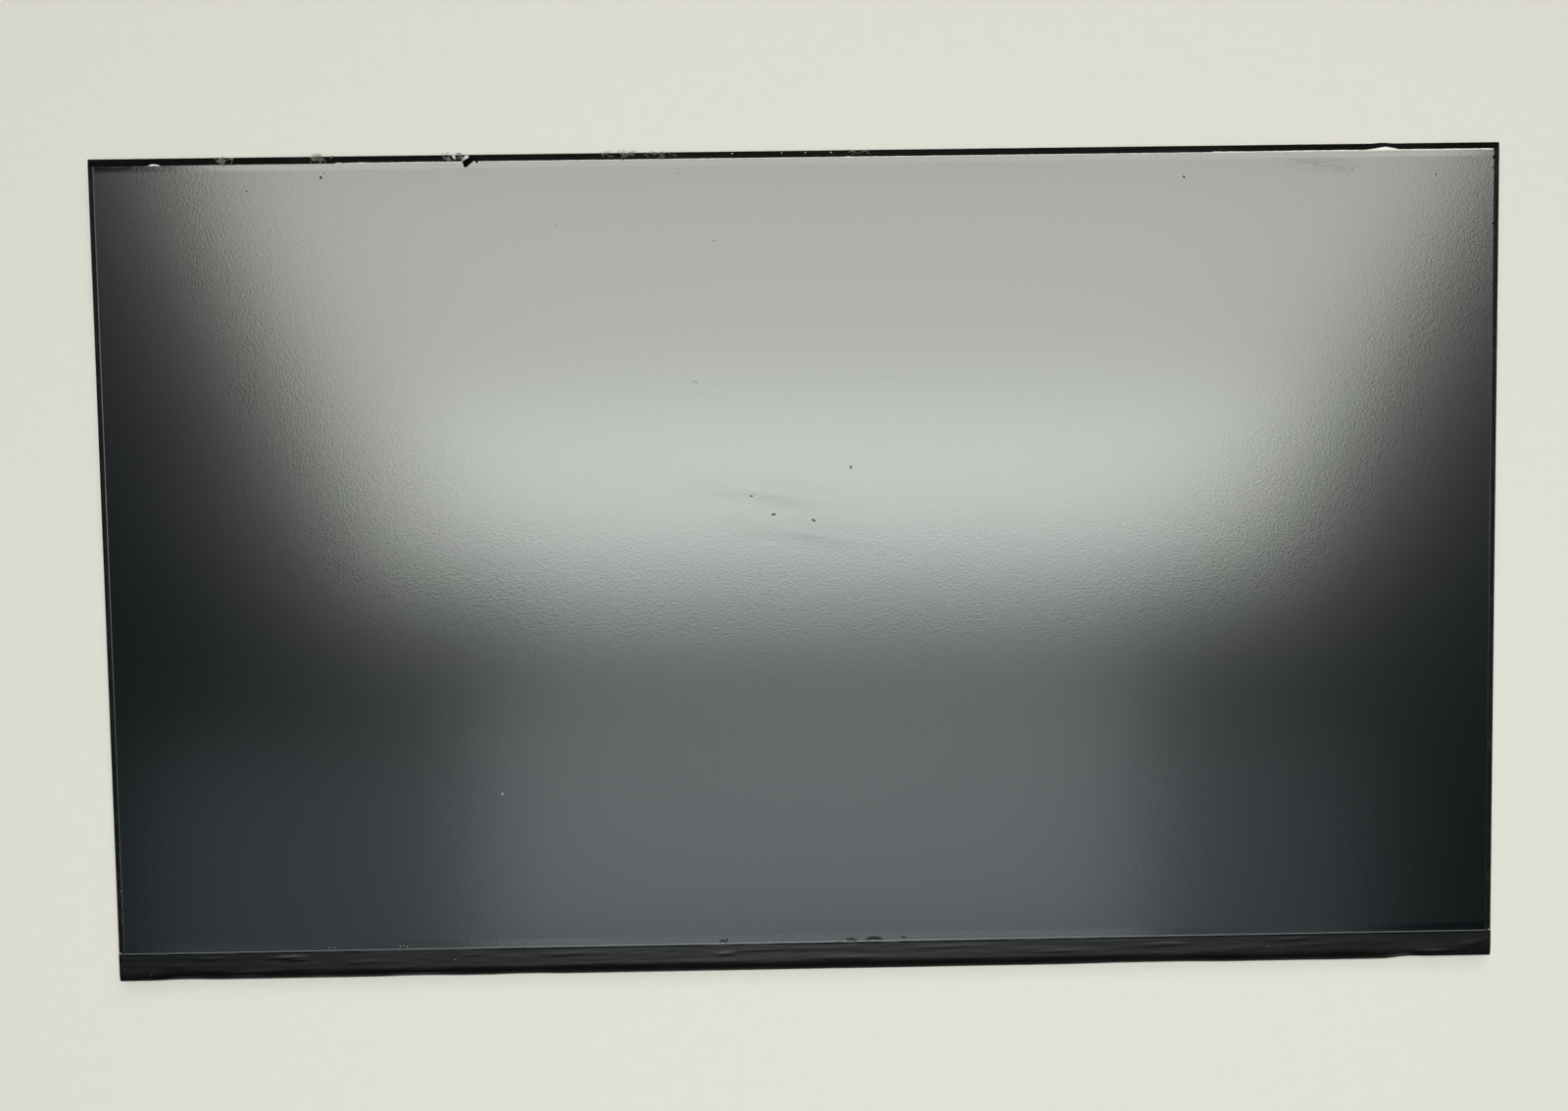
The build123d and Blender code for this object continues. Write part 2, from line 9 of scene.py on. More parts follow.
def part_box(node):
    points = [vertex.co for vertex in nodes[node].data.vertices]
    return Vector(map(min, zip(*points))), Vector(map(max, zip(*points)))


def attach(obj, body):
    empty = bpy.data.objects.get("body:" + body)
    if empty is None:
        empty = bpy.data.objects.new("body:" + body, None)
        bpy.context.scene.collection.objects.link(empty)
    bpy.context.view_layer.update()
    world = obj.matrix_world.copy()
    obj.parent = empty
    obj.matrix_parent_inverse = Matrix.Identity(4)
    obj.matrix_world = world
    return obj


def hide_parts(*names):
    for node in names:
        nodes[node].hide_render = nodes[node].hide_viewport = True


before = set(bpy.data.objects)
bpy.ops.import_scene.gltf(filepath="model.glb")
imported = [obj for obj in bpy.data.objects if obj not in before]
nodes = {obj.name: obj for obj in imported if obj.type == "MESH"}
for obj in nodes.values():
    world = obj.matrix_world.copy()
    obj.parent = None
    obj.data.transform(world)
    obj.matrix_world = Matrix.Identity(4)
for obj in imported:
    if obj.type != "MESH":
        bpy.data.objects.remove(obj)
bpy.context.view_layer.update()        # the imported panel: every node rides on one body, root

# A bare laptop screen panel, lying on its back: a matte screen in black tapes, with the wear of a used
# one. Sizes and places are in millimetres in the panel's own frame, and meshes are written in metres.
MM = 0.001
luck = random.Random(11)


def node_box(name):
    """Lowest and highest corner of a node, in millimetres."""
    low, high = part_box(name)
    return low / MM, high / MM


# Faces and edges that the new pieces fit to, read from the frame
screen_low, screen_high = node_box("front_polariser")
top_tape_low, top_tape_high = node_box("top_edge_tape")
side_tape_low, side_tape_high = node_box("right_edge_tape")
roll_low, roll_high = node_box("bottom_cover_tape")
film_low, film_high = node_box("board_cover_film")
socket_low, socket_high = node_box("video_socket_shell")
glass_front = node_box("colour_filter_glass")[1].z
cover_top = node_box("back_cover")[1].z
tape_thickness = top_tape_high.z - glass_front
tape_front = top_tape_high.z
tape_rear = top_tape_low.z
half_width = side_tape_high.x
panel_top = top_tape_high.y
panel_bottom = roll_low.y
socket_mid = (socket_low.x + socket_high.x) / 2
screen_mid = (screen_high.y + screen_low.y) / 2
side_length = screen_high.y - screen_low.y

# Sizes that the frame doesn't give: glossier strips along the screen film's top and bottom, whose paler
# tone is painted reflection, bends and laps of the tapes, the cover's flange, room for the plug, the beads,
# and the step of the tapes' meshes
strip_top = 1.5
strip_bottom = 2.0
tape_gap = 0.05
tape_bend = 0.20
roll_turn = 35
roll_ease = 6.0
roll_rear = 4.4
roll_window = 2.4
flange_height = 0.80
cover_rear = cover_top - flange_height
plug_room = 11.5
bead_width = 0.40
left_bead_width = 0.32
right_bead_width = 0.26
bead_sink = 0.01
station = 0.25

# Height of loose bits over the face that carries them, and the slack in telling a flat front by its height
hair = 0.005
level_slack = 0.01

# Wear on the top tape: where its inner edge is torn back, with the start, peak, end and depth in mm
tears = (
    (-161.2, -159.4, -157.3, 0.48),
    (-115.2, -113.6, -112.1, 0.26),
    (-111.2, -108.0, -104.9, 0.24),
    (-83.4, -82.4, -80.4, 0.90),
    (11.2, 12.6, 13.8, 0.34),
    (103.3, 103.7, 105.4, 0.30),
    (138.0, 146.7, 151.0, 1.00),
)
thin_line_start = -112.0
pull_back_start = 103.6
pull_back = 0.26
ragged_start, ragged_end = 93.8, 103.4
bulge_x, bulge_half, bulge_height = 146.0, 3.2, 0.22
rough_start, rough_end = 122.6, 129.5

# Folds in the bottom tape: middle along X and Y, length, width and height of each
folds = (
    (-132.5, -97.6, 12.0, 0.45, 0.20),
    (-130.0, -98.2, 9.0, 0.40, 0.14),
    (-152.0, -97.6, 12.0, 0.5, 0.10),
    (-161.0, -99.6, 8.0, 0.9, 0.07),
    (-141.0, -101.4, 18.0, 1.0, 0.12),
    (-124.0, -102.2, 10.0, 0.9, 0.08),
    (-99.0, -102.0, 24.0, 1.0, 0.08),
    (-113.0, -99.0, 14.0, 0.9, 0.06),
    (-86.0, -97.8, 6.0, 0.5, 0.07),
    (-60.0, -98.0, 22.0, 0.6, 0.07),
    (-21.0, -98.6, 7.0, 0.8, 0.12),
    (-14.0, -97.9, 20.0, 0.5, 0.06),
    (10.0, -100.2, 26.0, 0.6, 0.05),
    (36.0, -97.8, 30.0, 0.6, 0.06),
    (64.0, -99.6, 22.0, 0.7, 0.05),
    (92.0, -98.2, 24.0, 0.6, 0.07),
    (125.0, -97.4, 14.0, 0.5, 0.08),
    (132.0, -98.9, 18.0, 0.6, 0.06),
    (151.5, -101.9, 11.0, 0.5, 0.16),
    (161.0, -101.3, 14.0, 0.5, 0.18),
    (170.0, -99.5, 9.0, 1.2, 0.10),
)

# Where the bottom tape slumps inwards beside the drive films: start, full depth from, to, end and depth
slumps = (
    (-176.0, -176.0, -158.0, -150.5, 0.20),
    (-110.0, -103.0, -95.0, -88.0, 0.14),
    (-82.0, -74.0, -70.0, -62.5, 0.14),
    (66.0, 82.0, 95.0, 108.0, 0.18),
    (147.3, 156.5, 176.0, 176.0, 0.70),
)

# Ends of the bottom tape, where no drive film rolls under it and it stays flatter
flat_left, flat_right = -160.0, 152.0
flat_ease = 8.0
flatness = 0.75

# Lint on the top tape: middle along X and Y, half length, half width and number of strands
tufts = (
    (-142.6, 102.8, 1.2, 0.7, 16),
    (-139.6, 103.0, 0.6, 0.25, 4),
    (-118.5, 103.2, 1.5, 0.8, 26),
    (-115.6, 103.0, 0.5, 0.3, 3),
    (-86.7, 103.0, 0.8, 0.7, 12),
    (-83.6, 103.1, 0.8, 0.5, 10),
    (-47.5, 103.0, 1.0, 0.5, 6),
    (-42.2, 103.3, 1.7, 0.6, 20),
    (-33.6, 102.9, 3.2, 0.5, 14),
    (16.3, 103.2, 3.4, 0.25, 9),
)
lint_reach = 0.25

# Dust on the screen: place and size of each dark speck, and the dark fibres with their angle
specks = (
    (-117.9, 98.3, 0.80),
    (-117.2, 99.4, 0.35),
    (-136.3, 95.2, 0.50),
    (-60.0, 85.9, 0.32),
    (-64.9, 71.1, 0.30),
    (-29.6, 98.2, 0.34),
    (-20.9, 81.7, 0.34),
    (96.3, 95.9, 0.60),
    (159.4, 95.7, 0.40),
    (171.0, 72.5, 0.36),
    (138.4, 97.4, 0.40),
)
fibres = (
    (-7.1, 13.3, 1.0, 8.0),
    (2.9, 11.7, 0.9, -32.0),
    (12.5, 24.9, 0.7, 58.0),
    (-12.6, 18.0, 0.5, 40.0),
)
faint_fibre = ((-27.1, 46.3), (-26.6, 47.0), (-26.1, 46.9), (-25.7, 46.2))

# Dark squiggles of old adhesive beside the bottom bead
squiggles = (
    (
        (-22.4, -95.5), (-22.0, -95.3), (-21.6, -94.9), (-21.5, -95.5), (-21.1, -95.7), (-20.8, -95.3),
        (-20.6, -94.8),
    ),
    (
        (10.0, -95.1), (10.2, -95.6), (10.7, -95.7), (11.0, -94.9), (11.3, -95.4), (11.7, -95.8),
        (12.2, -95.7), (12.5, -95.5),
    ),
    ((14.8, -95.5), (15.7, -95.1), (17.0, -95.0), (18.2, -95.1), (19.1, -95.6)),
    ((15.3, -95.6), (16.2, -95.4), (17.3, -95.5), (18.4, -95.5)),
    ((23.9, -95.3), (24.1, -95.0), (24.3, -95.2), (24.6, -95.1), (25.1, -95.2)),
)

# Outlines of the torn shred and its nib, of the white patch and wedge beside it, and of the dark sheet
# lying over the screen at the top left corner
shred = (
    (-81.2, 103.3), (-80.4, 103.1), (-80.3, 102.6), (-80.2, 101.8), (-80.9, 101.3), (-81.8, 100.5),
    (-82.4, 100.4), (-82.7, 101.2), (-82.8, 101.8), (-81.9, 102.4), (-81.3, 102.7),
)
nib = ((-79.8, 102.2), (-78.9, 102.2), (-79.1, 101.3), (-79.6, 101.7))
white_patch = (
    (-83.1, 102.4), (-82.5, 103.0), (-81.9, 103.3), (-81.3, 103.3), (-80.9, 103.0), (-81.3, 102.6),
    (-81.9, 102.4), (-82.5, 101.8), (-83.0, 101.9),
)
wedge = ((-85.6, 103.3), (-84.7, 103.4), (-84.4, 102.3), (-85.0, 102.5))
flap = (
    (-173.7, 101.7), (-173.7, 101.2), (-173.0, 100.9), (-170.6, 100.85), (-167.4, 100.9),
    (-165.8, 101.05), (-164.7, 101.1), (-164.6, 101.7),
)

# Black shreds at the screen's right border, with their length, and the grey streaks beside the left tape
border_shreds = ((99.8, 1.3), (97.2, 0.8), (83.5, 0.9))
streaks_from, streaks_to = -66.0, -87.0

# Pale bits: a speck on the screen, flakes along the top tape, specks with their size on the bottom tape,
# and flakes beside the bottom bead
screen_speck = (-76.9, -56.4)
top_flakes, top_flake_line = (-16.0, -3.8, 2.1, 8.5), 103.0
roll_specks = ((-167.2, -101.4, 0.18), (-90.0, -98.9, 0.28), (118.0, -99.2, 0.20))
bead_flakes = ((-121.9, -95.3), (-120.6, -95.2), (-103.9, -95.2), (-103.0, -95.1), (-102.1, -95.3))

# Tone of the room and the far floor, and the camera's place and its turn in degrees, fitted to the panel's
# corners in the photo
backdrop = "#DDDCD1"
camera_place = (-7.28, 16.97, 311.24)
camera_turn = (-2.593, -0.524, -0.846)


def linear(code):
    """An sRGB hex colour as the linear RGBA that shaders and lamps take."""
    channels = [int(code[i:i + 2], 16) / 255 for i in (1, 3, 5)]
    return [c / 12.92 if c <= 0.04045 else ((c + 0.055) / 1.055) ** 2.4 for c in channels] + [1.0]


def per_mm(size):
    """Texture scale whose features are that many millimetres across."""
    return 1 / (size * MM)


def add(tree, kind, sockets=None, **settings):
    """Add a node with its settings; each socket takes a value or the output that feeds it."""
    node = tree.nodes.new(kind)
    for name, value in settings.items():
        setattr(node, name, value)
    for socket, value in (sockets or {}).items():
        if isinstance(value, bpy.types.NodeSocket):
            tree.links.new(value, node.inputs[socket])
        else:
            node.inputs[socket].default_value = value
    return node


def start_material(name, **values):
    """A new material with its shader's constant values set, and the place on the piece to read."""
    material = bpy.data.materials.new(name)
    material.use_nodes = True
    tree = material.node_tree
    shader = tree.nodes["Principled BSDF"]
    for socket, value in values.items():
        shader.inputs[socket.replace("_", " ")].default_value = value
    place = add(tree, "ShaderNodeTexCoord").outputs["Object"]
    return material, tree, shader, place


def even_finish(
    name, dark, light, grain, rough, rough_swing=0.06, relief=0.0, stretch=(1, 1, 1), **values
):
    """A finish with a fine grain: its colour, gloss and relief all follow one noise of that size."""
    material, tree, shader, place = start_material(name, **values)
    laid = add(tree, "ShaderNodeMapping", {"Vector": place, "Scale": stretch}).outputs["Vector"]
    grit = add(tree, "ShaderNodeTexNoise", {"Vector": laid, "Scale": per_mm(grain), "Detail": 3.0})
    tone = add(tree, "ShaderNodeMix", {
        "Factor": grit.outputs["Fac"], "A": linear(dark), "B": linear(light),
    }, data_type="RGBA")
    gloss = add(tree, "ShaderNodeMapRange", {
        "Value": grit.outputs["Fac"], "To Min": rough - rough_swing, "To Max": rough + rough_swing,
    })
    tree.links.new(tone.outputs["Result"], shader.inputs["Base Color"])
    tree.links.new(gloss.outputs["Result"], shader.inputs["Roughness"])
    if relief:
        bump = add(tree, "ShaderNodeBump", {
            "Height": grit.outputs["Fac"], "Distance": relief * MM, "Strength": 1.0,
        })
        tree.links.new(bump.outputs["Normal"], shader.inputs["Normal"])
    return material


def anti_glare_screen():
    """Hard-coated polariser film: a near-black face whose fine grain spreads each lamp's reflection.

    The layers under it reflect too, so its index is above that of the coat alone.
    """
    material, tree, shader, place = start_material("anti_glare_hard_coat", IOR=1.857)
    height = add(tree, "ShaderNodeSeparateXYZ", {"Vector": place}).outputs["Y"]
    soft = 0.15 * MM
    scuff_weight = 2.0
    grease_dulling = 0.07
    strip_gloss = 0.06

    def past(edge, sign):
        """One past the inner edge of a glossier strip, nought between the strips."""
        return add(tree, "ShaderNodeMapRange", {
            "Value": height, "From Min": edge * MM - sign * soft, "From Max": edge * MM + sign * soft,
        }).outputs["Result"]

    above = past(screen_high.y - strip_top, 1)
    below = past(screen_low.y + strip_bottom, -1)
    glossy_painted_reflection_strip = add(tree, "ShaderNodeMath", {0: above, 1: below}, operation="MAXIMUM").outputs[0]

    grain = add(tree, "ShaderNodeTexNoise", {"Vector": place, "Scale": per_mm(0.5), "Detail": 1.0})
    bump = add(tree, "ShaderNodeBump", {
        "Height": grain.outputs["Fac"], "Distance": 0.012 * MM, "Strength": 1.0,
    })
    tree.links.new(bump.outputs["Normal"], shader.inputs["Normal"])
    speckle = add(tree, "ShaderNodeMix", {
        "Factor": grain.outputs["Fac"], "A": linear("#000405"), "B": linear("#030D0F"),
    }, data_type="RGBA").outputs["Result"]
    # The strips are glossier, and their paler base colour is a painted reflection of the black matrix under
    # the film
    tone = add(tree, "ShaderNodeMix", {
        "Factor": glossy_painted_reflection_strip, "A": speckle, "B": linear("#060D0E"),
    }, data_type="RGBA")
    tree.links.new(tone.outputs["Result"], shader.inputs["Base Color"])

    def wiped(middle, reach, angle, streak):
        """Greasy streaks inside an oval patch, along a wipe at that angle."""
        spot = add(tree, "ShaderNodeMapping", {
            "Vector": place, "Location": (middle[0] * MM, middle[1] * MM, screen_high.z * MM),
            "Rotation": (0, 0, radians(angle)),
        }, vector_type="TEXTURE").outputs["Vector"]
        oval = add(tree, "ShaderNodeMapping", {
            "Vector": spot, "Scale": (1 / (reach[0] * MM), 1 / (reach[1] * MM), 1),
        }).outputs["Vector"]
        fade = add(tree, "ShaderNodeTexGradient", {"Vector": oval}, gradient_type="SPHERICAL")
        lines = add(tree, "ShaderNodeMapping", {
            "Vector": spot, "Scale": (1 / (streak[0] * MM), 1 / (streak[1] * MM), 1),
        }).outputs["Vector"]
        smear = add(tree, "ShaderNodeTexNoise", {"Vector": lines, "Scale": 1.0, "Detail": 2.0})
        edge = add(tree, "ShaderNodeMapRange", {
            "Value": smear.outputs["Fac"], "From Min": 0.35, "From Max": 0.75,
        }).outputs["Result"]
        return add(tree, "ShaderNodeMath", {
            0: edge, 1: fade.outputs["Fac"],
        }, operation="MULTIPLY").outputs[0]

    upper = wiped((-9.0, 18.6), (28, 6), -7.5, (34, 3.2))
    lower = wiped((1.0, 8.4), (27, 6), -7.5, (34, 3.2))
    scuff = wiped((128.8, 98.9), (14, 3.0), -8, (5, 0.5))
    smears = add(tree, "ShaderNodeMath", {0: upper, 1: lower}, operation="MAXIMUM").outputs[0]
    marks = add(tree, "ShaderNodeMath", {
        0: scuff, 1: scuff_weight, 2: smears,
    }, operation="MULTIPLY_ADD").outputs[0]
    cloud = add(tree, "ShaderNodeTexNoise", {"Vector": place, "Scale": per_mm(60), "Detail": 2.0})
    haze = add(tree, "ShaderNodeMapRange", {
        "Value": cloud.outputs["Fac"], "To Min": 0.190, "To Max": 0.203,
    }).outputs["Result"]
    hazed = add(tree, "ShaderNodeMath", {
        0: marks, 1: grease_dulling, 2: haze,
    }, operation="MULTIPLY_ADD").outputs[0]
    rough = add(tree, "ShaderNodeMath", {
        0: glossy_painted_reflection_strip, 1: -strip_gloss, 2: hazed,
    }, operation="MULTIPLY_ADD").outputs[0]
    tree.links.new(rough, shader.inputs["Roughness"])
    return material


def black_tape(name, dark, worn, sheen, rough, crease=0.0):
    """Black polyester tape: faintly grained, with paler rubbed streaks and fine creases along X."""
    material, tree, shader, place = start_material(name, IOR=1.5, Specular_IOR_Level=sheen)
    grain = add(tree, "ShaderNodeTexNoise", {"Vector": place, "Scale": per_mm(0.4), "Detail": 2.0})
    along = add(tree, "ShaderNodeMapping", {"Vector": place, "Scale": (0.12, 1, 1)}).outputs["Vector"]
    fine = add(tree, "ShaderNodeTexNoise", {"Vector": along, "Scale": per_mm(0.9), "Detail": 2.0})
    creased = add(tree, "ShaderNodeBump", {
        "Height": fine.outputs["Fac"], "Distance": crease * MM, "Strength": 1.0,
    })
    bump = add(tree, "ShaderNodeBump", {
        "Height": grain.outputs["Fac"], "Distance": 0.010 * MM, "Strength": 1.0,
        "Normal": creased.outputs["Normal"],
    })
    tree.links.new(bump.outputs["Normal"], shader.inputs["Normal"])
    rub = add(tree, "ShaderNodeTexNoise", {"Vector": along, "Scale": per_mm(2.4), "Detail": 4.0})
    rubbed = add(tree, "ShaderNodeMapRange", {
        "Value": rub.outputs["Fac"], "From Min": 0.50, "From Max": 0.85,
    }).outputs["Result"]
    tone = add(tree, "ShaderNodeMix", {
        "Factor": rubbed, "A": linear(dark), "B": linear(worn),
    }, data_type="RGBA")
    gloss = add(tree, "ShaderNodeMapRange", {
        "Value": rub.outputs["Fac"], "To Min": rough - 0.08, "To Max": rough + 0.08,
    })
    tree.links.new(tone.outputs["Result"], shader.inputs["Base Color"])
    tree.links.new(gloss.outputs["Result"], shader.inputs["Roughness"])
    return material


def rolled_aluminium():
    """Rolled aluminium sheet: a soft mirror drawn out along the rolling direction."""
    material, tree, shader, place = start_material("rolled_aluminium", Metallic=1.0)
    rolled = add(tree, "ShaderNodeMapping", {"Vector": place, "Scale": (0.02, 1, 1)}).outputs["Vector"]
    lines = add(tree, "ShaderNodeTexNoise", {"Vector": rolled, "Scale": per_mm(0.5), "Detail": 4.0})
    cloud = add(tree, "ShaderNodeTexNoise", {"Vector": place, "Scale": per_mm(30), "Detail": 3.0})
    tone = add(tree, "ShaderNodeMix", {
        "Factor": cloud.outputs["Fac"], "A": linear("#BFC1C3"), "B": linear("#D6D7D8"),
    }, data_type="RGBA")
    gloss = add(tree, "ShaderNodeMapRange", {
        "Value": lines.outputs["Fac"], "To Min": 0.28, "To Max": 0.44,
    })
    bump = add(tree, "ShaderNodeBump", {
        "Height": lines.outputs["Fac"], "Distance": 0.006 * MM, "Strength": 1.0,
    })
    tree.links.new(tone.outputs["Result"], shader.inputs["Base Color"])
    tree.links.new(gloss.outputs["Result"], shader.inputs["Roughness"])
    tree.links.new(bump.outputs["Normal"], shader.inputs["Normal"])
    return material


edge_finish = black_tape("dull_black_polyester_tape", "#020202", "#191919", 0.05, 0.55)
# Side tapes: the same black tape with a paler base, a painted reflection; the paler streaks in it are
# rubbed wear
side_finish_with_painted_reflection = black_tape("rubbed_black_tape_painted_reflection", "#0D0D0D", "#272727", 0.08, 0.50)
roll_finish = black_tape("satin_black_polyester_tape", "#020202", "#121212", 0.44, 0.36, 0.05)
finishes = {
    "matte_screen": anti_glare_screen(),
    # Thin sheet glass: clear with a green cast at its edge
    "cell_glass": even_finish(
        "sheet_glass", "#D7E4DF", "#E2ECE8", 40, 0.04, 0.01, IOR=1.52, Transmission_Weight=0.9),
    # Rear polariser: smooth dark film
    "polariser_film": even_finish("dark_polariser_film", "#52555A", "#5A5D61", 5, 0.16, 0.03, IOR=1.5),
    "black_tape": edge_finish,
    # Polyimide: amber film, slightly glossy and unevenly toned
    "polyimide_flex": even_finish("amber_polyimide", "#96601F", "#B87F34", 2.5, 0.28, IOR=1.7),
    # Bare chip: polished, almost a mirror
    "driver_silicon": even_finish("polished_silicon", "#55555C", "#5E5E66", 1, 0.12, 0.03, Metallic=0.6),
    # White polycarbonate: moulded, with a fine spark-eroded texture
    "white_frame": even_finish(
        "white_polycarbonate", "#E6E6E3", "#F0F0EE", 0.4, 0.45, relief=0.01, IOR=1.58),
    "cover_aluminium": rolled_aluminium(),
    # Reflector: bright white film with a satin face
    "reflector_film": even_finish("white_reflector_film", "#F2F3F3", "#F7F8F8", 3, 0.32, IOR=1.5),
    # Light guide: clear acrylic
    "guide_acrylic": even_finish(
        "clear_acrylic", "#EEF3F4", "#F5F8F8", 8, 0.05, 0.02, IOR=1.49, Transmission_Weight=0.9),
    # Diffuser and prism sheets: milky film
    "optical_film": even_finish(
        "milky_optical_film", "#E9EBEC", "#F1F2F3", 0.5, 0.40, relief=0.005, IOR=1.5),
    # White coverlay of a flexible circuit
    "white_flex": even_finish("white_coverlay", "#E8E8E4", "#F0EFEA", 1.5, 0.42, IOR=1.5),
    # Emitter: white moulding filled with yellow phosphor
    "emitter_package": even_finish("phosphor_moulding", "#EFE3B4", "#F5EFD2", 0.6, 0.40, IOR=1.5),
    # Solder mask: glossy green lacquer over copper
    "board_mask": even_finish(
        "green_solder_mask", "#0E4A2E", "#1A5E3C", 1.2, 0.25, relief=0.01, IOR=1.55),
    # Double-sided tape: cloudy off-white adhesive
    "adhesive_tape": even_finish("cloudy_adhesive", "#DCDAD2", "#E6E4DC", 2, 0.50, IOR=1.47),
    # Moulded epoxy: dull black with a fine pitted grain
    "chip_mould": even_finish("moulded_epoxy", "#2A2A2C", "#343436", 0.15, 0.60, relief=0.008, IOR=1.55),
    # Pressed ferrite: dull dark grey
    "ferrite": even_finish("pressed_ferrite", "#5C5C5F", "#68686B", 0.3, 0.55, relief=0.01, IOR=1.6),
    # Fired ceramic: tan, with a dull glaze
    "capacitor_ceramic": even_finish("tan_ceramic", "#AE9471", "#BEA584", 0.4, 0.38, IOR=1.6),
    # Resistor: dark glaze over ceramic
    "resistor_ceramic": even_finish("dark_glaze", "#3E3E42", "#4A4A4E", 0.3, 0.30, IOR=1.55),
    # Liquid-crystal polymer: ivory, matte, with flow marks
    "socket_plastic": even_finish(
        "ivory_polymer", "#D3CBB8", "#DED7C6", 1.5, 0.48, relief=0.006, stretch=(1, 0.2, 1), IOR=1.6),
    # Tinned steel: bright, drawn along the sheet
    "socket_steel": even_finish(
        "tinned_steel", "#C9C9C7", "#DADAD8", 0.6, 0.30, stretch=(0.08, 1, 1), Metallic=1.0),
    # Gold plating: soft mirror
    "contact_gold": even_finish("gold_plating", "#E0B765", "#EAC67C", 0.4, 0.22, Metallic=1.0),
    # Black polyester film: satin, with a faint grain
    "cover_film": even_finish(
        "black_polyester_film", "#141416", "#1D1D1F", 0.6, 0.36, relief=0.006, IOR=1.55),
}


def dress_nodes():
    """Give every CAD node the finish of its slot."""
    for node in nodes.values():
        for holder in node.material_slots:
            slot = holder.material.name.split(".")[0]
            holder.material = finishes[slot]


dress_nodes()


def place_object(name, data):
    """Put a mesh, curve, lamp or camera into the scene as an object."""
    holder = bpy.data.objects.new(name, data)
    bpy.context.scene.collection.objects.link(holder)
    return holder


def keep(bm, name, material, stands_for=(), thickness=0.0):
    """Write a mesh modelled in millimetres as a finished piece that rides on the panel."""
    bmesh.ops.scale(bm, vec=(MM, MM, MM), verts=bm.verts)
    mesh = bpy.data.meshes.new(name)
    bm.to_mesh(mesh)
    bm.free()
    mesh.polygons.foreach_set("use_smooth", [True] * len(mesh.polygons))
    piece = place_object(name, mesh)
    mesh.materials.append(material)
    if thickness:
        wall = piece.modifiers.new("thickness", "SOLIDIFY")
        wall.thickness = thickness * MM
        wall.offset = -1
    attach(piece, "root")
    if stands_for:
        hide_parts(*stands_for)


def verts_of(made):
    """The vertices among the elements that an operator made."""
    return [part for part in made if isinstance(part, bmesh.types.BMVert)]


def push_out(bm, face, way):
    """Draw a face out along a vector into a solid, and give the vertices of its far end."""
    far = verts_of(bmesh.ops.extrude_face_region(bm, geom=[face])["geom"])
    bmesh.ops.translate(bm, vec=way, verts=far)
    return far


def turn_flat(bm, verts, angle):
    """Turn vertices about the upright axis through the origin."""
    bmesh.ops.rotate(bm, cent=(0, 0, 0), matrix=Matrix.Rotation(angle, 3, "Z"), verts=verts)


def run(bm, tip, y, z, parts=1):
    """Carry a profile straight on to a point of the YZ plane, in equal parts."""
    step = Vector((0, y - tip.co.y, z - tip.co.z)) / parts
    for _ in range(parts):
        tip = bmesh.ops.extrude_vert_indiv(bm, verts=[tip])["verts"][0]
        bmesh.ops.translate(bm, vec=step, verts=[tip])
    return tip


def bend(bm, tip, y, z, degrees, parts):
    """Carry a profile round a centre in the YZ plane."""
    turned = bmesh.ops.spin(
        bm, geom=[tip], cent=(tip.co.x, y, z), axis=(1, 0, 0), angle=radians(degrees), steps=parts)
    return verts_of(turned["geom_last"])[0]


def draw_out(bm, length, parts):
    """Draw a profile out along X into a sheet of that many parts, facing up where it is highest."""
    far = verts_of(bmesh.ops.extrude_edge_only(bm, edges=bm.edges[:])["geom"])
    bmesh.ops.translate(bm, vec=(length, 0, 0), verts=far)
    long_edges = [edge for edge in bm.edges if abs(edge.verts[0].co.x - edge.verts[1].co.x) > length / 2]
    bmesh.ops.subdivide_edges(bm, edges=long_edges, cuts=parts - 1, use_grid_fill=True)
    bm.normal_update()
    highest = max(bm.faces, key=lambda face: face.calc_center_median().z)
    if highest.normal.z < 0:
        bmesh.ops.reverse_faces(bm, faces=bm.faces[:])
    bm.normal_update()


def cut_away(bm, unwanted):
    """Remove the faces whose middle the test picks."""
    lost = [face for face in bm.faces if unwanted(face.calc_center_median())]
    bmesh.ops.delete(bm, geom=lost, context="FACES")


def ripple(*place):
    """Smooth noise between -1 and 1 at a place of up to three numbers."""
    return noise.noise(Vector((place + (0.37, 0.71))[:3]))


def smooth(share):
    """A share held between nought and one, eased at both ends."""
    share = min(1.0, max(0.0, share))
    return share * share * (3 - 2 * share)


def tear_depth(x):
    """How far the top tape's inner edge is torn back at X; over the side tapes it is whole."""
    if abs(x) > screen_high.x:
        return 0.0
    depth = 0.0
    for start, peak, end, deep in tears:
        if start < x < peak:
            rise = (x - start) / (peak - start)
            depth = max(depth, deep * rise ** 1.6)
        elif peak <= x < end:
            fall = (end - x) / (end - peak)
            depth = max(depth, deep * fall ** 0.7)
    if x > pull_back_start:
        depth = max(depth, pull_back + 0.08 * ripple(x * 0.15) + 0.05 * ripple(x * 1.1))
    if ragged_start < x < ragged_end:
        depth = max(depth, 0.10 + 0.12 * ripple(x * 1.3) + 0.06 * ripple(x * 4))
    if depth > 0.05:
        depth += 0.05 * ripple(x * 3.1, 5)
    drawn_back = 0.15 if x > thin_line_start else 0.03
    return max(depth, drawn_back + 0.04 * ripple(x * 0.9, 2))


def fold_tape(bm, length, inner, outer, rear):
    """A tape folded from the glass over an edge to the back, drawn out along X and facing outwards."""
    tip = bm.verts.new((-length / 2, inner, tape_front))
    tip = run(bm, tip, outer - tape_bend, tape_front, 6)
    tip = bend(bm, tip, outer - tape_bend, tape_front - tape_bend, -90, 4)
    tip = run(bm, tip, outer, tape_rear + tape_bend, 4)
    tip = bend(bm, tip, outer - tape_bend, tape_rear + tape_bend, -90, 4)
    run(bm, tip, rear, tape_rear, 3)
    draw_out(bm, length, round(length / station))


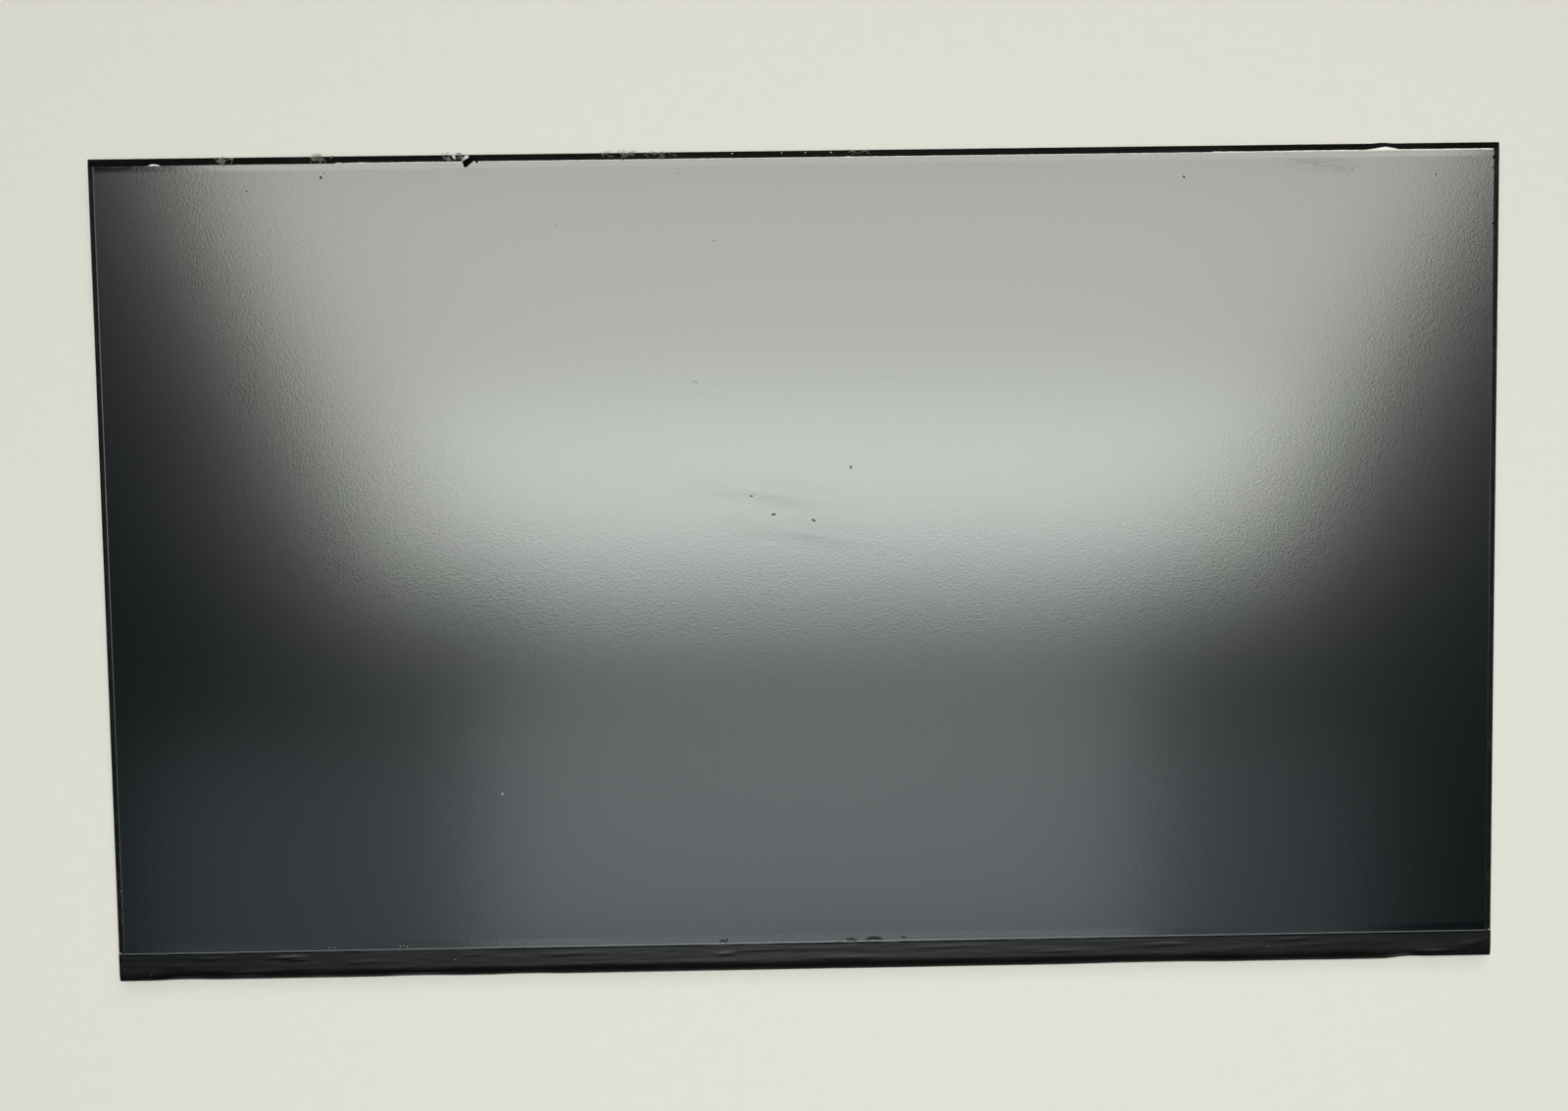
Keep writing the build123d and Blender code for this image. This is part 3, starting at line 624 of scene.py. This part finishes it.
def top_tape():
    """The torn top tape: its inner edge pulls back in the tears and lifts a little there."""
    tear_lift = 0.10
    most_lifted = 0.5
    waviness = 0.012
    rough_lift = 0.10
    edge_zone = 0.3
    inner = screen_high.y + tape_gap
    shoulder = panel_top - tape_bend
    bm = bmesh.new()
    fold_tape(bm, 2 * top_tape_high.x, inner, panel_top, top_tape_low.y)
    for vert in bm.verts:
        x, y, z = vert.co
        if z > tape_front - level_slack and y <= shoulder:
            inward = (shoulder - y) / (shoulder - inner)
            depth = tear_depth(x)
            wave = waviness * ripple(x * 0.5, y * 1.5) * inward
            vert.co.y = shoulder - (shoulder - inner - depth) * inward
            vert.co.z += inward ** 2 * min(depth, most_lifted) * tear_lift + wave
        lift = smooth(1 - abs(x - bulge_x) / bulge_half) * bulge_height
        if rough_start < x < rough_end:
            lift += rough_lift * max(0.0, ripple(x * 1.9, 7))
        front_share = min(1.0, max(0.0, (z - tape_rear - tape_bend) / (tape_front - tape_rear)))
        if y > shoulder - edge_zone:
            vert.co.y += lift * front_share
    keep(bm, "torn_top_tape", edge_finish, ("top_edge_tape",), tape_thickness)


def side_tape(name, node, turn, seed):
    """A side tape, with a slightly uneven inner edge, cut back at its ends for the other tapes."""
    length = side_tape_high.y - side_tape_low.y
    middle = (side_tape_high.y + side_tape_low.y) / 2
    inner = screen_high.x + tape_gap
    shoulder = half_width - tape_bend
    facing = 1 if turn < 0 else -1
    bm = bmesh.new()
    fold_tape(bm, length, inner, half_width, side_tape_low.x)
    for vert in bm.verts:
        x, y, z = vert.co
        if z > tape_front - level_slack and y <= shoulder:
            inward = (shoulder - y) / (shoulder - inner)
            uneven = 0.05 + 0.05 * ripple(x * 0.8, seed) + 0.04 * ripple(x * 3.0, seed + 3)
            vert.co.y += uneven * inward
            vert.co.z += 0.010 * ripple(x * 0.4, y * 1.5, seed) * inward

    def cut(at):
        """Where the other tapes lie over or beside this one."""
        along = middle - facing * at.x
        if at.z > tape_front - tape_bend - tape_thickness:
            return along > screen_high.y or along < screen_low.y
        return at.z < tape_rear + tape_bend and along > top_tape_low.y - tape_gap

    cut_away(bm, cut)
    turn_flat(bm, bm.verts, radians(turn))
    bmesh.ops.translate(bm, vec=(0, middle, 0), verts=bm.verts)
    keep(bm, name, side_finish_with_painted_reflection, (node,), tape_thickness)


def roll_radii(drop):
    """Front and rear radius of a film that bends easily at first and then more tightly."""
    rear = drop / (1 + cos(radians(roll_turn)) + roll_ease * (1 - cos(radians(roll_turn))))
    return roll_ease * rear, rear


def slump(x):
    """How far the bottom tape's roll has sunk inwards at X."""
    depth = 0.0
    for start, full_from, full_to, end, deep in slumps:
        if start < x < full_from:
            depth = max(depth, deep * smooth((x - start) / (full_from - start)))
        elif full_from <= x <= full_to:
            depth = max(depth, deep)
        elif full_to < x < end:
            depth = max(depth, deep * smooth((end - x) / (end - full_to)))
    return depth


def flat_end(x):
    """One at the bottom tape's ends, nought along the drive films."""
    return max(smooth((flat_left - x) / flat_ease), smooth((x - flat_right) / flat_ease))


def rolled_tape():
    """The bottom tape: it rolls round the drive films behind, with the folds that handling has left."""
    behind = 1.0
    folds_above = 1.4
    fold_fade = 1.0
    inner_drop = roll_high.z - roll_low.z - 2 * tape_thickness
    front_radius, rear_radius = roll_radii(inner_drop)
    front_radius += tape_thickness
    rear_radius += tape_thickness
    turn = radians(roll_turn)
    start = panel_bottom + front_radius * sin(turn) + rear_radius * (1 - sin(turn))
    bm = bmesh.new()
    tip = bm.verts.new((-half_width, screen_low.y - tape_gap, roll_high.z))
    tip = run(bm, tip, start, roll_high.z, 16)
    tip = bend(bm, tip, start, roll_high.z - front_radius, roll_turn, 8)
    tip = bend(bm, tip, panel_bottom + rear_radius, roll_low.z + rear_radius, 180 - roll_turn, 10)
    run(bm, tip, panel_bottom + roll_rear, roll_low.z, 4)
    draw_out(bm, 2 * half_width, round(2 * half_width / (2 * station)))

    def at_plug(at):
        """Where the plug passes, in the part that lies behind."""
        return at.z < behind and abs(at.x - socket_mid) < plug_room and at.y > panel_bottom + roll_window

    cut_away(bm, at_plug)
    soft_drop = front_radius * (1 - cos(turn))
    full_drop = soft_drop + rear_radius * cos(turn)
    for vert in bm.verts:
        drop = roll_high.z - vert.co.z
        if drop < full_drop:
            tight = smooth((drop - soft_drop) / (full_drop - soft_drop))
            vert.co.z += drop * flatness * flat_end(vert.co.x) * (1 - tight)
    bm.normal_update()
    moves = {}
    for vert in bm.verts:
        x, y, z = vert.co
        if z < folds_above:
            continue
        from_edge = min(1.0, (screen_low.y - y) / fold_fade)
        height = 0.03 * ripple(x * 0.05, y * 0.7) + 0.015 * ripple(x * 0.22, y * 1.8, 4)
        for fold_x, fold_y, length, width, high in folds:
            off = ((x - fold_x) / (length / 2)) ** 2
            if off < 1:
                across = (y - fold_y - 0.25 * width * sin((x - fold_x) / length * pi)) / width
                height += high * (1 - off) ** 2 * max(0.0, 1 - across * across) ** 2
        moves[vert] = vert.normal * height * max(0.0, from_edge)
    for vert, move in moves.items():
        vert.co += move
    for vert in bm.verts:
        outward = smooth((start - vert.co.y) / (start - panel_bottom))
        vert.co.y += slump(vert.co.x) * outward
    keep(bm, "rolled_bottom_tape", roll_finish, ("bottom_cover_tape",), tape_thickness)


def solid_boxes(name):
    """Box of each separate solid in a node, in millimetres."""
    bm = bmesh.new()
    bm.from_mesh(nodes[name].data)
    bmesh.ops.remove_doubles(bm, verts=bm.verts, dist=0.002 * MM)
    waiting = set(bm.verts)
    boxes = []
    while waiting:
        front = [waiting.pop()]
        island = []
        while front:
            vert = front.pop()
            island.append(vert.co / MM)
            for edge in vert.link_edges:
                other = edge.other_vert(vert)
                if other in waiting:
                    waiting.remove(other)
                    front.append(other)
        boxes.append([(min(c[i] for c in island), max(c[i] for c in island)) for i in range(2)])
    bm.free()
    return boxes


def draped_film():
    """Black film over the board: held up by the parts under it and slack between them."""
    sag = 0.34
    reach = 2.2
    ramp = 1.6
    pad_length = 3.0
    window_margin = 1.5
    edge_ease = 1.5
    flat_slack = 0.02
    waviness = 0.03
    on_tape = roll_low.z - tape_thickness
    on_cover = cover_rear - tape_thickness
    foot = panel_bottom + roll_rear
    end = film_high.y
    pad = end - pad_length
    bm = bmesh.new()
    tip = bm.verts.new((-film_high.x, film_low.y, on_tape))
    tip = run(bm, tip, foot, on_tape, 4)
    tip = run(bm, tip, foot + ramp, film_low.z, 4)
    tip = run(bm, tip, pad - ramp, film_low.z, 16)
    tip = run(bm, tip, pad, on_cover, 4)
    run(bm, tip, end, on_cover, 4)
    draw_out(bm, 2 * film_high.x, round(2 * film_high.x / (2 * station)))
    bmesh.ops.reverse_faces(bm, faces=bm.faces[:])
    window_top = socket_high.y + window_margin
    cut_away(bm, lambda at: abs(at.x - socket_mid) < plug_room and at.y < window_top)
    held = []
    for name in ("timing_controller", "memory_chip", "power_chip", "backlight_driver", "inductors",
                 "chip_capacitors", "chip_resistors"):
        held += solid_boxes(name)
    held += [[(socket_mid - plug_room, socket_mid + plug_room), (film_low.y, window_top)]]
    for vert in bm.verts:
        x, y, z = vert.co
        if z > film_low.z + flat_slack:
            continue
        support = 0.0
        for (x0, x1), (y0, y1) in held:
            gap_x = max(x0 - x, 0, x - x1)
            gap_y = max(y0 - y, 0, y - y1)
            support = max(support, smooth(1 - (gap_x * gap_x + gap_y * gap_y) ** 0.5 / reach))
        edge = min(1.0, (y - foot - ramp) / edge_ease, (pad - ramp - y) / edge_ease)
        slack = sag * (1 - support) * max(0.0, edge)
        vert.co.z += slack + waviness * ripple(x * 0.3, y * 0.5) * (1 - support)
    keep(bm, "draped_board_film", finishes["cover_film"], ("board_cover_film",),
         tape_thickness)


def edge_bead(name, width, dark, light, length, edge, turn):
    """Cloudy bead along one cut edge of the screen film, given its length, its distance and its turn; the
    film's edge is milky, and its paler tone on each side is a painted highlight.
    """
    profile = (
        (edge, screen_high.z - bead_sink),
        (edge + width, tape_front + hair),
        (edge, tape_front + hair),
    )
    bm = bmesh.new()
    face = bm.faces.new([bm.verts.new((-length / 2, y, z)) for y, z in profile])
    push_out(bm, face, (length, 0, 0))
    turn_flat(bm, bm.verts, radians(turn))
    if abs(turn) == 90:
        bmesh.ops.translate(bm, vec=(0, screen_mid, 0), verts=bm.verts)
    bmesh.ops.recalc_face_normals(bm, faces=bm.faces)
    # The bead's tone is partly the milky cut edge and partly a painted highlight, set apart for each side
    cloudy = even_finish(name + "_adhesive", dark, light, 3, 0.40, IOR=1.49)
    keep(bm, name, cloudy)


def painted_gap_shadow():
    """A matte black strip along the bottom tape, in the groove beside the bead: a painted shadow of the gap
    where the tape bridges the step from the screen film.
    """
    width = 0.24
    layer = 0.004
    waviness = 0.05
    start = screen_low.y - bead_width
    bm = bmesh.new()
    tip = bm.verts.new((-screen_high.x, start, tape_front + layer))
    run(bm, tip, start - width, tape_front + layer, 2)
    draw_out(bm, 2 * screen_high.x, round(2 * screen_high.x / station))
    for vert in bm.verts:
        vert.co.y += waviness * ripple(vert.co.x * 0.7, 9)
    # Matte black with almost no reflection: the strip is painted shadow
    gap_shade = even_finish("black_adhesive", "#030303", "#060606", 1, 0.90, IOR=1.4, Specular_IOR_Level=0.05)
    keep(bm, "squeezed_adhesive", gap_shade, thickness=layer)


def white_residue():
    """White adhesive left on the glass where the top tape has torn away."""
    layer = 0.01
    least_tear = 0.10
    under_tape = 0.10
    least_width = 0.04
    end_margin = 0.5
    strip = 1.0
    level = glass_front + 0.012
    near = screen_high.y + 0.01
    length = 2 * (top_tape_high.x - end_margin)
    bm = bmesh.new()
    tip = bm.verts.new((-length / 2, near, level))
    run(bm, tip, near + strip, level, 1)
    draw_out(bm, length, round(length / station))
    for vert in bm.verts:
        if vert.co.y > near + strip / 2:
            depth = tear_depth(vert.co.x)
            vert.co.y = near + (depth + under_tape if depth > least_tear else 0.0)
    cut_away(bm, lambda at: at.y < near + least_width)
    bmesh.ops.dissolve_degenerate(bm, dist=0.001, edges=bm.edges)
    chalky = even_finish("white_adhesive", "#E4E2DC", "#F6F5F2", 0.8, 0.60, relief=0.01, IOR=1.47)
    keep(bm, "torn_adhesive", chalky, thickness=layer)


def flake(bm, middle, length, width, angle, height=0.03):
    """A small torn flake with an uneven outline, lying at an angle."""
    base = bmesh.ops.create_circle(bm, cap_ends=True, segments=11, radius=1)["verts"]
    for vert in base:
        vert.co *= luck.uniform(0.65, 1.1)
    bmesh.ops.scale(bm, vec=(length / 2, width / 2, 1), verts=base)
    verts = base + push_out(bm, base[0].link_faces[0], (0, 0, height))
    turn_flat(bm, verts, radians(angle))
    bmesh.ops.translate(bm, vec=middle, verts=verts)


def scrap(bm, outline, low, height):
    """A thin scrap with a drawn outline, lying flat at a height."""
    face = bm.faces.new([bm.verts.new((x, y, low)) for x, y in outline])
    push_out(bm, face, (0, 0, height))


def tape_shreds():
    """Torn bits of black tape: one hangs over the screen, others stick to its borders."""
    bm = bmesh.new()
    on_screen = screen_high.z + hair
    scrap(bm, shred, on_screen, 0.07)
    scrap(bm, nib, on_screen, 0.06)
    for y, length in border_shreds:
        flake(bm, (screen_high.x - 0.02, y, on_screen), 0.5, length, 0, 0.04)
    bmesh.ops.recalc_face_normals(bm, faces=bm.faces)
    keep(bm, "tape_shreds", edge_finish)


def corner_flap():
    """A thin dark sheet that lies over the screen at its top left corner, along the top tape's edge."""
    bm = bmesh.new()
    scrap(bm, flap, screen_high.z + 0.004, 0.03)
    bmesh.ops.recalc_face_normals(bm, faces=bm.faces)
    smoky = even_finish("smoky_film", "#1C1C1A", "#2B2B27", 1.2, 0.45, IOR=1.4, Specular_IOR_Level=0.2)
    keep(bm, "corner_flap", smoky)


def pale_bits():
    """Pale bits of old adhesive on the tapes and beside the bottom bead, and one on the screen."""
    bm = bmesh.new()
    on_tape = tape_front + hair
    on_screen = screen_high.z + hair
    flake(bm, (*screen_speck, on_screen), 0.6, 0.45, 20, 0.05)
    scrap(bm, white_patch, on_tape, 0.05)
    scrap(bm, wedge, on_tape, 0.05)
    for x in top_flakes:
        flake(bm, (x, top_flake_line, on_tape), luck.uniform(0.3, 0.6), 0.3, luck.uniform(0, 90))
    for x, y, size in roll_specks:
        flake(bm, (x, y, on_tape), size, size, luck.uniform(0, 90), 0.05)
    for x, y in bead_flakes:
        flake(bm, (x, y, on_screen), 0.3, 0.16, luck.uniform(0, 90), 0.02)
    bmesh.ops.recalc_face_normals(bm, faces=bm.faces)
    pale = even_finish("old_adhesive", "#A5A6A4", "#DAD9D4", 0.9, 0.60, IOR=1.47)
    keep(bm, "pale_bits", pale)


def grey_residue():
    """Grey streaks of adhesive beside the left tape."""
    spread = 0.12
    level = tape_front + 0.03
    bm = bmesh.new()
    y = streaks_from
    while y > streaks_to:
        length = luck.uniform(0.3, 1.5)
        x = -screen_high.x - spread + luck.uniform(-spread, spread)
        width = luck.uniform(0.12, 0.26)
        angle = luck.uniform(-5, 5)
        flake(bm, (x, y - length / 2, level), width, length, angle)
        y -= length + luck.uniform(0.1, 0.9)
    bmesh.ops.recalc_face_normals(bm, faces=bm.faces)
    grey = even_finish("grey_residue", "#4E4E50", "#858486", 0.5, 0.60, IOR=1.47)
    keep(bm, "grey_residue", grey)


def add_threads(bm, paths, thickness):
    """Add thin threads along the given paths to a mesh, all in millimetres."""
    curve = bpy.data.curves.new("threads", "CURVE")
    curve.dimensions = "3D"
    curve.bevel_depth = thickness / 2 * MM
    curve.bevel_resolution = 0
    curve.resolution_u = 3
    for path in paths:
        spline = curve.splines.new("NURBS")
        spline.points.add(len(path) - 1)
        for point, place in zip(spline.points, path):
            point.co = (*(place * MM), 1)
        spline.order_u = 3
        spline.use_endpoint_u = True
    holder = place_object("threads", curve)
    ready = holder.evaluated_get(bpy.context.evaluated_depsgraph_get())
    mesh = bpy.data.meshes.new_from_object(ready)
    bpy.data.objects.remove(holder)
    count = len(bm.verts)
    bm.from_mesh(mesh)
    bm.verts.ensure_lookup_table()
    bmesh.ops.scale(bm, vec=(1 / MM, 1 / MM, 1 / MM), verts=bm.verts[count:])


def lint():
    """Tufts of lint caught in the torn top tape: each strand is a few fibres clinging together."""
    strand_thickness = 0.13
    strand_steps = 5
    level = tape_front + 0.08
    paths = []
    for x, y, half_length, half_depth, count in tufts:
        for _ in range(count):
            spot = Vector((
                x + luck.uniform(-1, 1) * half_length,
                y + luck.uniform(-1, 1) * half_depth,
                level + abs(luck.gauss(0, 0.06)),
            ))
            heading = luck.uniform(0, 2 * pi)
            curl = luck.uniform(-1.1, 1.1)
            path = [spot.copy()]
            for _ in range(strand_steps):
                heading += curl + luck.gauss(0, 0.3)
                stride = luck.uniform(0.18, 0.36)
                spot = spot + Vector((cos(heading) * stride, sin(heading) * stride, luck.gauss(0, 0.03)))
                spot.z = max(spot.z, level)
                spot.y = min(spot.y, y + half_depth + lint_reach)
                path.append(spot.copy())
            paths.append(path)
    bm = bmesh.new()
    add_threads(bm, paths, strand_thickness)
    cotton = even_finish("cotton_lint", "#171613", "#ACA89D", 0.9, 0.85, IOR=1.5)
    keep(bm, "lint", cotton)


def dust():
    """Dark specks, short fibres and squiggles on the screen."""
    thread_thickness = 0.40
    faint_thickness = 0.09
    bow_share = 0.15
    speck_level = screen_high.z + 0.02
    thread_level = screen_high.z + 0.04
    fibre_level = screen_high.z + 0.06
    bm = bmesh.new()
    for x, y, size in specks:
        made = bmesh.ops.create_icosphere(bm, subdivisions=2, radius=size / 2)["verts"]
        for vert in made:
            vert.co *= 1 + 0.5 * ripple(vert.co.x * 4 / size, vert.co.y * 4 / size, x)
        bmesh.ops.scale(bm, vec=(1, luck.uniform(0.6, 1), 0.35), verts=made)
        turn_flat(bm, made, luck.uniform(0, pi))
        bmesh.ops.translate(bm, vec=(x, y, speck_level), verts=made)
    paths = []
    for x, y, length, angle in fibres:
        along = Vector((cos(radians(angle)), sin(radians(angle)), 0)) * length
        middle = Vector((x, y, fibre_level))
        bow = Vector((-along.y, along.x, 0)) * bow_share
        paths.append([middle - along / 2, middle + bow, middle + along / 2])
    for path in squiggles:
        paths.append([Vector((x, y, thread_level)) for x, y in path])
    add_threads(bm, paths, thread_thickness)
    add_threads(bm, [[Vector((x, y, thread_level)) for x, y in faint_fibre]], faint_thickness)
    grit = even_finish("grey_dust", "#0B0B0A", "#282826", 0.3, 0.80, IOR=1.5)
    keep(bm, "dust", grit)


top_tape()
side_tape("right_side_tape", "right_edge_tape", -90, 21)
side_tape("left_side_tape", "left_edge_tape", 90, 33)
rolled_tape()
draped_film()
# The beads' tones are painted highlights of one film's cut edges: palest along the bottom, dimmer on the
# left, darkest on the right
edge_bead("bottom_bead", bead_width, "#6C7174", "#949A9C", 2 * screen_high.x, -screen_low.y, 180)
edge_bead("left_bead", left_bead_width, "#4A4F52", "#747A7D", side_length, screen_high.x, 90)
edge_bead("right_bead", right_bead_width, "#2C3032", "#474B4D", side_length, screen_high.x, -90)
painted_gap_shadow()
white_residue()
tape_shreds()
corner_flap()
pale_bits()
grey_residue()
lint()
dust()


def seen_rays(tree):
    """One for a ray that comes from the camera or through glass, nought for the rest."""
    ray = add(tree, "ShaderNodeLightPath").outputs
    shine = add(tree, "ShaderNodeMath", {
        0: ray["Is Camera Ray"], 1: ray["Is Transmission Ray"],
    }, operation="MAXIMUM")
    return shine.outputs[0]


def floor():
    """Plain pale floor; far from the panel it fades into the backdrop's tone for the camera."""
    half_size = 3000
    fade_from, fade_to = 240, 520
    bm = bmesh.new()
    bmesh.ops.create_grid(bm, x_segments=1, y_segments=1, size=half_size * MM)
    mesh = bpy.data.meshes.new("floor")
    bm.to_mesh(mesh)
    bm.free()
    ground = place_object("floor", mesh)
    board = even_finish("pale_board", "#D2CEC9", "#D6D2CD", 4, 0.85, 0.04, IOR=1.45)
    tree = board.node_tree
    place = add(tree, "ShaderNodeTexCoord").outputs["Object"]
    away = add(tree, "ShaderNodeVectorMath", {0: place}, operation="LENGTH").outputs["Value"]
    far = add(tree, "ShaderNodeMapRange", {
        "Value": away, "From Min": fade_from * MM, "From Max": fade_to * MM,
    }, interpolation_type="SMOOTHSTEP").outputs["Result"]
    seen = add(tree, "ShaderNodeMath", {0: far, 1: seen_rays(tree)}, operation="MULTIPLY").outputs[0]
    glow = add(tree, "ShaderNodeEmission", {"Color": linear(backdrop), "Strength": 1.0})
    both = add(tree, "ShaderNodeMixShader", {
        0: seen, 1: tree.nodes["Principled BSDF"].outputs[0], 2: glow.outputs[0],
    })
    tree.links.new(both.outputs[0], tree.nodes["Material Output"].inputs["Surface"])
    mesh.materials.append(board)


def softbox(name, middle, size, tilt, radiance, colour):
    """A rectangular lamp above the panel, tilted about X; its power gives the radiance of its face."""
    lamp = bpy.data.lights.new(name, "AREA")
    lamp.shape = "RECTANGLE"
    lamp.size = size[0] * MM
    lamp.size_y = size[1] * MM
    lamp.energy = radiance * pi * lamp.size * lamp.size_y
    lamp.color = linear(colour)[:3]
    holder = place_object(name, lamp)
    holder.location = Vector(middle) * MM
    holder.rotation_euler = (radians(tilt), 0, 0)


def studio():
    """Soft light: a strong softbox over the top edge, a weaker one over the middle, two dim ones beyond the
    bottom edge and one far beyond the top edge, in a dim pale room."""
    softbox("main_softbox", (69, 163, 1150), (1271, 823), -53.0, 5.06, "#FCFFF6")
    softbox("middle_softbox", (65, -41, 1150), (804, 814), -69.4, 2.24, "#F1FFFE")
    softbox("low_softbox", (34, -380, 1150), (789, 338), 0, 1.58, "#F2FBFF")
    softbox("wide_softbox", (-35, -461, 1150), (1463, 395), 0, 0.45, "#E6F3FD")
    softbox("far_softbox", (60, 1100, 700), (900, 500), -57.5, 4.2, "#FFFDF8")
    world = bpy.data.worlds.new("pale_room")
    world.use_nodes = True
    tree = world.node_tree
    shader = tree.nodes["Background"]
    sky = add(tree, "ShaderNodeTexCoord").outputs["Generated"]
    parts = add(tree, "ShaderNodeSeparateXYZ", {"Vector": sky}).outputs
    band = add(tree, "ShaderNodeMapRange", {
        "Value": parts["Z"], "From Min": 0.10, "From Max": 0.60, "To Min": 1.0, "To Max": 0.05,
    }).outputs["Result"]
    side = add(tree, "ShaderNodeMapRange", {
        "Value": parts["Y"], "From Min": -0.8, "From Max": 0.8, "To Min": 0.06, "To Max": 0.30,
    }).outputs["Result"]
    dim = add(tree, "ShaderNodeMath", {0: band, 1: side}, operation="MULTIPLY").outputs[0]
    glow = add(tree, "ShaderNodeMix", {"Factor": seen_rays(tree), "A": dim, "B": 1.0}, data_type="FLOAT")
    shader.inputs["Color"].default_value = linear(backdrop)
    tree.links.new(glow.outputs["Result"], shader.inputs["Strength"])
    bpy.context.scene.world = world


def camera():
    """Nearly straight above the panel, as the picture was taken."""
    lens = bpy.data.cameras.new("camera")
    lens.sensor_width = 36.0
    lens.lens = 28.125
    lens.clip_start = 0.01
    eye = place_object("camera", lens)
    eye.location = Vector(camera_place) * MM
    eye.rotation_euler = [radians(angle) for angle in camera_turn]
    bpy.context.scene.camera = eye


floor()
studio()
camera()
bpy.context.scene.view_settings.view_transform = "Standard"
